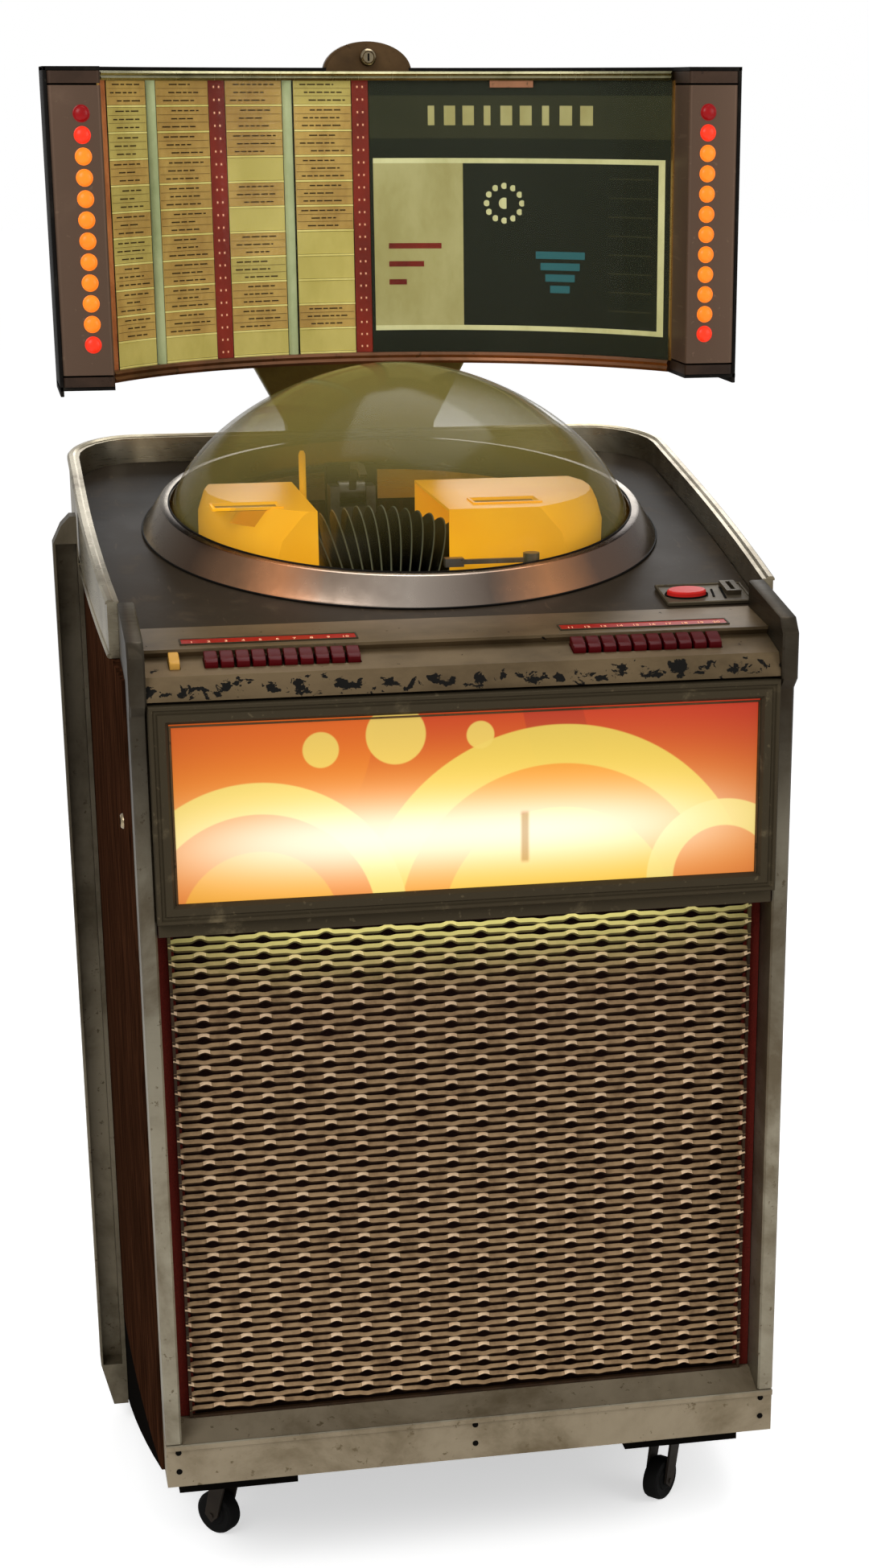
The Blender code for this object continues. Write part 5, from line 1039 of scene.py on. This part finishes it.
def card_print(work, left, right, low, top):
    """Rules and broken lines of print on one card."""
    width = right - left
    height = top - low
    for share in (0.34, 0.66):
        z = low + height * share
        curved_plate(work, left + 0.001, right - 0.001, z, z + 0.0003, CARD_SETBACK - CARD_LIFT, CARD_LIFT)
    for line in range(TEXT_LINES):
        z = top - height * (line + 0.5) / TEXT_LINES - 0.0008
        x = left + width * random.uniform(0.08, 0.30)
        end = right - width * random.uniform(0.10, 0.34)
        while x < end:
            word = random.uniform(0.004, 0.010)
            stop = min(x + word, end)
            if stop - x > 0.002:
                curved_plate(work, x, stop, z, z + 0.0014, CARD_SETBACK - CARD_LIFT, CARD_LIFT)
            x = stop + 0.0018


def dividers():
    """Pale upright dividers and the dark red strips with their small white ticks."""
    work = bmesh.new()
    for left, right in DIVIDERS:
        middle = (left + right) / 2
        point = (middle, arc_depth(middle) + 0.0045)
        half = (right - left) / 2
        outline = []
        for step in range(13):
            angle = math.pi * step / 12
            outline.append((point[0] + half * math.cos(angle), point[1] - 0.004 * math.sin(angle)))
        outline += [(point[0] - half, point[1] + 0.002), (point[0] + half, point[1] + 0.002)]
        prism(work, outline, FIELD_LOW, FIELD_HIGH, "Z", 0)
    for left, right in RED_STRIPS:
        index = 3 if left < -0.3 else 1
        curved_plate(work, left, right, FIELD_LOW, FIELD_HIGH, CARD_SETBACK - 0.001, 0.002, index)
        middle = (left + right) / 2
        if index == 3:
            continue
        for row in range(2 * CARD_ROWS):
            z = FIELD_HIGH - (row + 0.5) * (FIELD_HIGH - FIELD_LOW) / (2 * CARD_ROWS)
            for shift in (-0.0030, 0.0030):
                x = middle + shift
                curved_plate(work, x - 0.0008, x + 0.0008, z - 0.0011, z + 0.0011, CARD_SETBACK - 0.0016, 0.001, 2)
    piece(work, "title_dividers", ["divider", "red_strip", "strip_mark", "copper_strip"], "lid")


# Plain design on the right half of the screen: heights of its bands and widths of its fields
PANEL_LEFT = 0.0000
PANEL_RIGHT = 0.3115
CREAM_LEFT = 0.0035
CREAM_RIGHT = 0.1045
CREAM_LOW = 1.3110
CREAM_HIGH = 1.4890
FRAME_RIGHT = 0.3065
FRAME_BAR = 0.0055
FRAME_LOW = 1.2990
MOTIF_X = 0.1495
MOTIF_Z = 1.4400
MOTIF_RADIUS = 0.019
MOTIF_DOTS = 12
BAND_MARKS = 9
BAND_LEFT = 0.0700
BAND_PITCH = 0.0205
BAND_Z = 1.5350


def screen_design():
    """Dark right half: cream field and frame, a ring of dots and a few plain bars."""
    work = bmesh.new()
    face = CARD_SETBACK
    curved_plate(work, PANEL_LEFT, PANEL_RIGHT, FIELD_LOW, FIELD_HIGH, face, 0.002, 0)
    curved_plate(work, PANEL_LEFT, PANEL_RIGHT, FIELD_HIGH - 0.062, FIELD_HIGH - 0.016, face - 0.0003, 0.001, 1)
    lift = face - 0.0007
    curved_plate(work, CREAM_LEFT, CREAM_RIGHT, CREAM_LOW, CREAM_HIGH - FRAME_BAR, lift, 0.001, 2)
    curved_plate(work, CREAM_LEFT, FRAME_RIGHT, CREAM_HIGH - FRAME_BAR, CREAM_HIGH, lift, 0.001, 3)
    curved_plate(work, CREAM_LEFT, FRAME_RIGHT, FRAME_LOW, FRAME_LOW + FRAME_BAR, lift, 0.001, 3)
    curved_plate(work, CREAM_LEFT, CREAM_RIGHT, FRAME_LOW + FRAME_BAR, CREAM_LOW, lift, 0.001, 2)
    curved_plate(work, FRAME_RIGHT - FRAME_BAR, FRAME_RIGHT, FRAME_LOW + FRAME_BAR, CREAM_HIGH - FRAME_BAR,
                 lift, 0.001, 3)
    for number in range(MOTIF_DOTS):
        angle = 2 * math.pi * number / MOTIF_DOTS
        x = MOTIF_X + MOTIF_RADIUS * math.cos(angle)
        z = MOTIF_Z + MOTIF_RADIUS * math.sin(angle)
        dot(work, x, z, 0.0034, lift, 3)
    dot(work, MOTIF_X, MOTIF_Z, 0.0062, lift, 3)
    for number in range(4):
        z = 1.3420 + number * 0.0125
        half = 0.010 + 0.005 * number
        curved_plate(work, 0.2080 - half, 0.2080 + half, z, z + 0.0080, lift, 0.001, 4)
    for number in range(3):
        z = 1.3500 + number * 0.0200
        curved_plate(work, 0.0200, 0.0200 + 0.020 * (number + 1), z, z + 0.0060, lift - 0.0004, 0.001, 5)
    for number in range(BAND_MARKS):
        x = BAND_LEFT + number * BAND_PITCH
        half = 0.0062 if number % 3 else 0.0036
        curved_plate(work, x - half, x + half, BAND_Z - 0.0105, BAND_Z + 0.0105, lift, 0.001, 2)
    for number in range(8):
        z = CREAM_HIGH - 0.022 - number * 0.0205
        curved_plate(work, 0.2560, 0.2960, z, z + 0.0016, face - 0.0004, 0.0006, 1)
    names = ["dark_print", "dark_band", "cream", "cream_edge", "teal", "red_strip"]
    piece(work, "screen_design", names, "lid")
    work = bmesh.new()
    curved_plate(work, -PILASTER_INNER_X + HAIR, PILASTER_INNER_X - HAIR, FIELD_LOW, FIELD_HIGH, 0.0, 0.0015)
    pane = piece(work, "title_pane", "pane", "lid")
    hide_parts("title_glass")


def dot(work, x, z, radius, setback, index):
    """Small round printed spot on the curved screen."""
    outline = []
    depth = arc_depth(x) + setback
    for step in range(20):
        angle = 2 * math.pi * step / 20
        outline.append((x + radius * math.cos(angle), z + radius * math.sin(angle)))
    prism(work, outline, depth - 0.0004, depth + 0.0012, "Y", index)


# Keys and labels
KEY_FRONT_SHARE = 0.36
KEY_REAR_SHARE = 0.86
SHELF_LENGTH = math.hypot(SHELF_REAR[0] - SHELF_FRONT[0], SHELF_REAR[1] - SHELF_FRONT[1])
KEY_PROUD = 0.0085
KEY_SUNK = 0.003
LABEL_LEFT = (-0.2775, -0.1035)
LABEL_RIGHT = (0.1050, 0.2790)
LABEL_FRONT = 0.014
LABEL_REAR = 0.030


def keys():
    """Rounded maroon keys, the amber key and the red label strips with their numbers."""
    for side, middle in (("left", -0.1815), ("right", 0.1860)):
        for number in range(KEY_COUNT):
            x = middle + (number - (KEY_COUNT - 1) / 2) * KEY_PITCH
            name = f"key_{side}_{number + 1:02d}"
            key(name, x, KEY_WIDTH, "key", "key_maroon")
    key("amber_key", -0.2875, 0.0100, "amber", "key_amber")
    work = bmesh.new()
    numbers = 0
    for left, right in (LABEL_LEFT, LABEL_RIGHT):
        block(work, (left, LABEL_FRONT, -0.0004), (right, LABEL_REAR, 0.0006), 0.0003, 1, 0)
        section = [(0, 0), (0, 0.0012), (0.0015, 0.0012), (0.0020, 0.0004), (0.0020, 0)]
        moulding(work, (left - 0.0015, LABEL_FRONT - 0.0015), (right + 0.0015, LABEL_REAR + 0.0015), section, "XY", 1)
    piece(work, "key_labels", ["strip", "frame"], "cabinet", ON_LIP)
    for left, right in (LABEL_LEFT, LABEL_RIGHT):
        for number in range(KEY_COUNT):
            numbers += 1
            x = left + (right - left) * (number + 0.62) / (KEY_COUNT + 0.25)
            number_mark(f"label_number_{numbers:02d}", str(numbers), x)


def number_mark(name, text, x):
    """One plain number on a label strip."""
    curve = bpy.data.curves.new(name, "FONT")
    curve.body = text
    curve.size = 0.0075
    curve.extrude = 0.0001
    curve.align_x = "CENTER"
    curve.resolution_u = 3
    item = bpy.data.objects.new(name, curve)
    item.matrix_world = ON_LIP @ Matrix.Translation((x, LABEL_FRONT + 0.0035, 0.0008))
    bpy.context.scene.collection.objects.link(item)
    curve.materials.append(MATERIALS["strip_mark"])
    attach(item, "cabinet")


def key(name, x, width, material, slot):
    """One push key with a hollowed top and a rounded nose."""
    front = SHELF_LENGTH * KEY_FRONT_SHARE
    rear = SHELF_LENGTH * KEY_REAR_SHARE
    top = KEY_PROUD
    profile = [
        (rear, -KEY_SUNK), (front + 0.0006, -KEY_SUNK), (front, top * 0.30), (front + 0.0010, top * 0.62),
        (front + 0.0045, top * 0.80), (front + 0.0090, top * 0.74), (rear - 0.0060, top * 0.96),
        (rear - 0.0015, top), (rear, top * 0.90),
    ]
    work = bmesh.new()
    faces = prism(work, profile, x - width / 2, x + width / 2, "X")
    caps = {edge for face in faces[:2] for edge in face.edges}
    bmesh.ops.bevel(work, geom=list(caps), offset=0.0011, segments=3, affect="EDGES", profile=0.5)
    made = piece(work, f"{name}_fine", material, name, ON_SHELF)
    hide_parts(name)


# Lit panel
DISPLAY_FRONT = -0.012
DISPLAY_HALF = 0.3177
DISPLAY_LOW = 0.781
DISPLAY_HIGH = 1.002
WINDOW_HALF = 0.298
WINDOW_LOW = 0.798
WINDOW_HIGH = 0.981


def display():
    """Pewter frame of stepped mouldings round the lit panel, with a thin bronze fillet."""
    work = bmesh.new()
    front = DISPLAY_FRONT
    wide = DISPLAY_HALF - WINDOW_HALF
    section = [
        (0, 0.018), (0, front + 0.002), (0.0012, front), (0.0042, front), (0.0056, front + 0.0022),
        (0.0078, front + 0.0026), (0.0092, front + 0.0008), (wide - 0.0035, front + 0.0016),
        (wide - 0.0008, front + 0.0050), (wide, front + 0.0070), (wide, 0.018),
    ]
    moulding(work, (-DISPLAY_HALF, DISPLAY_LOW), (DISPLAY_HALF, DISPLAY_HIGH), section)
    made = piece(work, "display_moulding", "frame", "display_door")
    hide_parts("display_frame")
    work = bmesh.new()
    fillet = [(0, front + 0.0072), (0, front + 0.0060), (0.0014, front + 0.0056), (0.0022, front + 0.0072)]
    moulding(work, (-WINDOW_HALF, WINDOW_LOW), (WINDOW_HALF, WINDOW_HIGH), fillet)
    piece(work, "display_fillet", "bronze", "display_door")


# Grille
GRILLE_HALF = 0.306
GRILLE_LOW = 0.2140
GRILLE_HIGH = 0.7645
GRILLE_DEPTH = 0.037
NODE_PITCH_X = 0.0322
RIBBON_PITCH_Z = 0.00875
RIBBON_HALF = 0.0027
RIBBON_SHEET = 0.0007
RIBBON_LEAN = 0.0018
RIDGE_SHARE = 0.20
NODE_FORWARD = 0.0020
WAVE_STEPS = 16
NODE_SHARE = 0.31
NODE_LIT = 0.45
DIP_SHARE = 0.30
SKIRT_SHARE = 1.45


def wave(phase):
    """Height of a strand between its two neighbours: level runs with a quick rise or dip at each node."""
    turn = phase % 2
    near = abs(turn) if turn <= 1 else abs(2 - turn)
    low = 1 - near
    if near < NODE_SHARE:
        return 0.5 * (1 + math.cos(math.pi * near / NODE_SHARE))
    if low < NODE_SHARE:
        return -0.5 * DIP_SHARE * (1 + math.cos(math.pi * low / NODE_SHARE))
    return 0.0


def strand(work, middle, number, samples):
    """One leaning strand with its lit upper slope and shaded lower slope."""
    reach = RIBBON_PITCH_Z / 2 - RIBBON_SHEET
    rings = []
    heights = []
    for i in range(samples + 1):
        x = -GRILLE_HALF + 2 * GRILLE_HALF * i / samples
        height = wave((x + GRILLE_HALF) / NODE_PITCH_X + number)
        z = middle + height * reach
        forward = GRILLE_DEPTH - NODE_FORWARD * abs(height)
        tall = RIBBON_HALF * (1 - 0.2 * abs(height))
        ring = [
            (x, forward + RIBBON_LEAN, z + tall),
            (x, forward - RIBBON_LEAN, z - tall * RIDGE_SHARE),
            (x, forward + RIBBON_LEAN, z - tall * SKIRT_SHARE),
            (x, forward + RIBBON_LEAN + RIBBON_SHEET, z),
        ]
        rings.append([work.verts.new(point) for point in ring])
        heights.append(height)
    for i in range(samples):
        # The upper slope takes the lit paint, or the painted highlight where it arches at a node; the other faces
        # take the painted shade
        lit = 1 if (heights[i] + heights[i + 1]) / 2 > NODE_LIT else 0
        for j, index in enumerate((lit, 2, 2, 2)):
            nxt = (j + 1) % 4
            face = work.faces.new([rings[i][j], rings[i + 1][j], rings[i + 1][nxt], rings[i][nxt]])
            face.material_index = index
    work.faces.new(rings[0]).material_index = 2
    work.faces.new(list(reversed(rings[-1]))).material_index = 2


def grille():
    """Expanded-metal grille: leaning strands that meet at nodes, in a folded border."""
    work = bmesh.new()
    count = int((GRILLE_HIGH - GRILLE_LOW - 2 * RIBBON_HALF) / RIBBON_PITCH_Z)
    samples = int(2 * GRILLE_HALF * WAVE_STEPS / NODE_PITCH_X)
    for number in range(count):
        strand(work, GRILLE_HIGH - RIBBON_PITCH_Z * (number + 0.75), number, samples)
    section = [(0, GRILLE_DEPTH + 0.0030), (0, GRILLE_DEPTH - 0.0020), (0.0030, GRILLE_DEPTH - 0.0020),
               (0.0030, GRILLE_DEPTH + 0.0030)]
    # The border takes the grille's painted shade
    moulding(work, (-GRILLE_HALF, KICK_SHELF_Z), (GRILLE_HALF, RAIL_Z), section, "XZ", 2)
    names = ["grille", "grille_node_highlight", "grille_shade"]
    made = piece(work, "grille_mesh", names, "cabinet", UPRIGHT, math.radians(60))
    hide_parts("speaker_grille")
    work = bmesh.new()
    for side in (-1, 1):
        edges = sorted((side * 0.300, side * 0.3176))
        block(work, (edges[0], GRILLE_DEPTH + 0.0045, KICK_SHELF_Z), (edges[1], GRILLE_DEPTH + 0.0075, RAIL_Z), EDGE)
    piece(work, "grille_side_cloth", "red_cloth", "cabinet")
    work = bmesh.new()
    block(work, (-0.3165, 0.0011, 0.7655), (0.3165, 0.0021, 0.7790), HAIR)
    piece(work, "front_rail_face", "frame", "cabinet")


# Kick plate
KICK_SHELF_Z = 0.2139
RAIL_Z = 0.7645
SCREW_RADIUS = 0.0032
SCREW_PLACES = ((-0.322, 0.168), (0.0, 0.168), (0.322, 0.168), (-0.322, 0.1905), (0.0, 0.1905), (0.322, 0.1905))


def kick_plate():
    """Screws of the kick plate, and a pale bead along its lip as a painted highlight."""
    work = bmesh.new()
    # Screw heads in the dark paint: painted shade of screw holes
    for x, z in SCREW_PLACES:
        profile = [(0, 0.0005), (SCREW_RADIUS, 0.0005), (SCREW_RADIUS, -0.0004), (SCREW_RADIUS * 0.7, -0.0012),
                   (0, -0.0014)]
        turned(work, profile, (x, 0.0028, z), "Y", 20)
    piece(work, "kick_screws", "hole", "cabinet")
    work = bmesh.new()
    # Painted highlight: a pale bead along the kick plate's lip
    path = [(-FRONT_HALF_WIDTH + 0.001, 0.0006, 0.2000), (FRONT_HALF_WIDTH - 0.001, 0.0006, 0.2000)]
    sweep(work, path, round_section(0.0011, 8))
    piece(work, "kick_lip_highlight", "post", "cabinet")


# Mechanism
WHEEL_X = -0.043
WHEEL_DEPTH = 0.365
WHEEL_Z = 0.914
WHEEL_RADIUS = 0.222
RECORD_RADIUS = 0.0862
RECORD_COUNT = 100
RECORD_HALF = 0.0009
RECORD_MARGIN = 0.0022
RECORD_SHEEN_WIDTH = 0.0012
LABEL_RADIUS = 0.045


def record_wheel():
    """Hub and axle of the wheel with its records, each a thin disc with a rounded rim, a painted sheen round its edge
    and a label.
    """
    work = bmesh.new()
    middle = WHEEL_RADIUS - RECORD_RADIUS - RECORD_MARGIN
    thickness = RECORD_HALF
    for number in range(RECORD_COUNT):
        angle = 2 * math.pi * number / RECORD_COUNT
        reach = RECORD_RADIUS - random.uniform(0.0, 0.0012)
        profile = [(0, thickness * 1.2), (LABEL_RADIUS, thickness * 1.2), (LABEL_RADIUS, thickness),
                   (reach - 0.001, thickness * 0.8), (reach, 0), (reach - 0.001, -thickness * 0.8),
                   (LABEL_RADIUS, -thickness), (LABEL_RADIUS, -thickness * 1.2), (0, -thickness * 1.2)]
        start = len(work.verts)
        turned(work, profile, (0, 0, 0), "Z", 40)
        # Painted sheen: a pale ring round each record's rim
        edge = [(reach - RECORD_SHEEN_WIDTH, thickness * 0.95), (reach + HAIR / 4, 0), (reach - RECORD_SHEEN_WIDTH, -thickness * 0.95)]
        turned(work, edge, (0, 0, 0), "Z", 40, 2)
        work.verts.ensure_lookup_table()
        turn = Matrix.Rotation(-angle, 4, "Y") @ Matrix.Translation((middle, 0, 0))
        for vertex in work.verts[start:]:
            vertex.co = turn @ vertex.co
    for first, last in ((-0.030, -0.024), (0.024, 0.030)):
        turned(work, [(0, first), (0.070, first), (0.070, last), (0, last)], (0, 0, 0), "Y", 60, 1)
    axle = 0.107
    turned(work, [(0, -axle), (0.008, -axle), (0.008, axle), (0, axle)], (0, 0, 0), "Y", 24, 1)
    shift = UPRIGHT @ Matrix.Translation((WHEEL_X, WHEEL_DEPTH, WHEEL_Z))
    names = ["record", "zinc", "record_edge_sheen"]
    wheel = piece(work, "record_wheel_fine", names, "record_wheel", shift)
    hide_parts("record_wheel")


def mechanism():
    """Smoked windows in the yellow covers, the dark carriage between them and a slender yellow post."""
    work = bmesh.new()
    for x, z in ((-0.183, 1.1435), (0.098, 1.1415)):
        section = [(0, z - 0.002), (0, z + 0.0010), (0.0025, z + 0.0012), (0.0055, z - 0.0018)]
        moulding(work, (x - 0.038, 0.300), (x + 0.038, 0.341), section, "XY", 0)
        block(work, (x - 0.034, 0.304, z - 0.0030), (x + 0.034, 0.337, z - 0.0016), 0, 1, 1)
    piece(work, "cover_windows", ["yellow", "smoke"], "cabinet")
    work = bmesh.new()
    block(work, (-0.068, 0.532, 1.004), (-0.010, 0.560, 1.156), 0.002)
    for number in range(3):
        z = 1.080 + number * 0.026
        block(work, (-0.060, 0.529, z), (-0.020, 0.533, z + 0.012), 0.001)
    piece(work, "carriage_block", "black", "cabinet")
    work = bmesh.new()
    turned(work, [(0, 0), (0.004, 0), (0.004, 0.168), (0.002, 0.172), (0, 0.172)], (-0.098, 0.520, 1.003), "Z", 20)
    piece(work, "carriage_post", "yellow", "cabinet")


# Casters
CASTER_NAMES = ("front_left", "front_right", "rear_left", "rear_right")
TYRE_RADIUS = 0.0254
TYRE_HALF = 0.0098


def caster_wheels():
    """Black tyres with a hub disc on both sides, turned about each wheel's axle."""
    for name in CASTER_NAMES:
        low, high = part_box(f"caster_{name}_wheel")
        centre = (low + high) / 2
        joint = next(j for j in frame["joints"] if j["child"] == f"caster_{name}_wheel")
        along = Vector(joint["axis"]).normalized()
        work = bmesh.new()
        radius = TYRE_RADIUS
        profile = [
            (0.004, -TYRE_HALF), (0.012, -TYRE_HALF), (0.0135, -TYRE_HALF + 0.0015), (radius - 0.004, -TYRE_HALF),
            (radius - 0.001, -TYRE_HALF + 0.0015), (radius, -TYRE_HALF + 0.004), (radius, TYRE_HALF - 0.004),
            (radius - 0.001, TYRE_HALF - 0.0015), (radius - 0.004, TYRE_HALF), (0.0135, TYRE_HALF - 0.0015),
            (0.012, TYRE_HALF), (0.004, TYRE_HALF),
        ]
        turned(work, profile, (0, 0, 0), "Z", 64)
        turn = along.to_track_quat("Z", "Y").to_matrix().to_4x4()
        place = Matrix.Translation((centre.x, centre.y, radius)) @ turn
        body = f"caster_{name}_wheel"
        made = piece(work, f"caster_{name}_tyre", "rubber", body, place)
        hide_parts(f"caster_{name}_wheel")


def coin_entry():
    """Raised border of the coin plate, with its grooves, dark slot and the reject button's collar in painted shade.
    """
    work = bmesh.new()
    base = 0.0033
    section = [(0, base - 0.001), (0, base + 0.0008), (0.0012, base + 0.0016), (0.0024, base + 0.0008),
               (0.0024, base - 0.001)]
    moulding(work, (0.2335, 0.1280), (0.3275, 0.1880), section, "XY", 0)
    # Painted shade: the dark ring round the reject button, the slot and the groove
    oval = []
    for step in range(48):
        angle = 2 * math.pi * step / 48
        oval.append((0.2604 + 0.0225 * math.cos(angle), 0.1560 + 0.0140 * math.sin(angle), base + 0.0006))
    sweep(work, oval, round_section(0.0010, 6), closed=True, index=1)
    for x, first, last in ((0.2880, 0.146, 0.170), (0.2990, 0.140, 0.176)):
        path = [(x, first, base + 0.0002), (x + 0.003, last, base + 0.0002)]
        sweep(work, path, [(-0.0011, -0.0004), (0.0011, -0.0004), (0.0011, 0.0005), (-0.0011, 0.0005)], index=1)
    piece(work, "coin_details", ["coin", "hole"], "lid", ON_DECK)


def camera():
    """Camera at the photograph's viewing angle."""
    data = bpy.data.cameras.new("camera")
    data.lens = CAMERA_LENS
    data.shift_x = CAMERA_SHIFT_X
    data.shift_y = CAMERA_SHIFT_Y
    item = bpy.data.objects.new("camera", data)
    item.location = CAMERA_PLACE
    item.rotation_euler = (math.pi / 2 - CAMERA_PITCH, 0, -CAMERA_YAW)
    bpy.context.scene.collection.objects.link(item)
    bpy.context.scene.camera = item


# Studio
FLOOR_HALF = 30.0
WORLD_STRENGTH = 0.50
LIGHTS = (
    ("key_light", (-1.9, -2.4, 2.9), (0.0, 0.0, 0.9), 1.6, 52),
    ("fill_light", (2.4, -2.2, 2.0), (0.0, 0.0, 0.8), 1.8, 26),
    ("top_light", (0.3, 0.6, 3.4), (0.0, 0.0, 1.0), 1.6, 26),
    ("back_light", (0.6, 3.0, 2.2), (0.0, 0.3, 0.9), 1.6, 20),
)


def white_ray(tree):
    """1 for rays that should see the white background."""
    path = tree.nodes.new("ShaderNodeLightPath")
    either = tree.nodes.new("ShaderNodeMath")
    either.operation = "MAXIMUM"
    tree.links.new(path.outputs["Is Camera Ray"], either.inputs[0])
    tree.links.new(path.outputs["Is Transmission Ray"], either.inputs[1])
    return either.outputs[0]


def studio():
    """Pale floor, white world and soft lamps."""
    scene = bpy.context.scene
    scene.view_settings.view_transform = "Standard"
    world = bpy.data.worlds.new("studio")
    world.use_nodes = True
    scene.world = world
    tree = world.node_tree
    background = tree.nodes["Background"]
    background.inputs["Color"].default_value = (1, 1, 1, 1)
    strength = tree.nodes.new("ShaderNodeMapRange")
    strength.inputs["To Min"].default_value = WORLD_STRENGTH
    tree.links.new(white_ray(tree), strength.inputs["Value"])
    tree.links.new(strength.outputs["Result"], background.inputs["Strength"])
    mesh = bpy.data.meshes.new("floor")
    far = FLOOR_HALF
    mesh.from_pydata([(-far, -far, 0), (far, -far, 0), (far, far, 0), (-far, far, 0)], [], [(0, 1, 2, 3)])
    floor = bpy.data.objects.new("floor", mesh)
    scene.collection.objects.link(floor)
    paint = Paint("floor_white", (246, 246, 246), 0.9)
    tone = white_ray(paint.tree)
    paint.put("Emission Color", (1, 1, 1, 1))
    paint.put("Emission Strength", paint.span(tone, 0.0, 0.55))
    mesh.materials.append(paint.material)
    for name, place, aim, size, power in LIGHTS:
        data = bpy.data.lights.new(name, "AREA")
        data.size = size
        data.energy = power
        item = bpy.data.objects.new(name, data)
        item.location = place
        item.rotation_euler = (Vector(aim) - Vector(place)).to_track_quat("-Z", "Y").to_euler()
        scene.collection.objects.link(item)


finish_nodes()
rim()
dome()
title_case()
title_cards()
dividers()
screen_design()
keys()
display()
grille()
kick_plate()
record_wheel()
mechanism()
caster_wheels()
coin_entry()
lock("side_lock_fine", "side_lock", (-half_width(0.095) - 0.002 + 0.0092, 0.095, 0.863), "X", 0.0085, "side_lock")
camera()
studio()
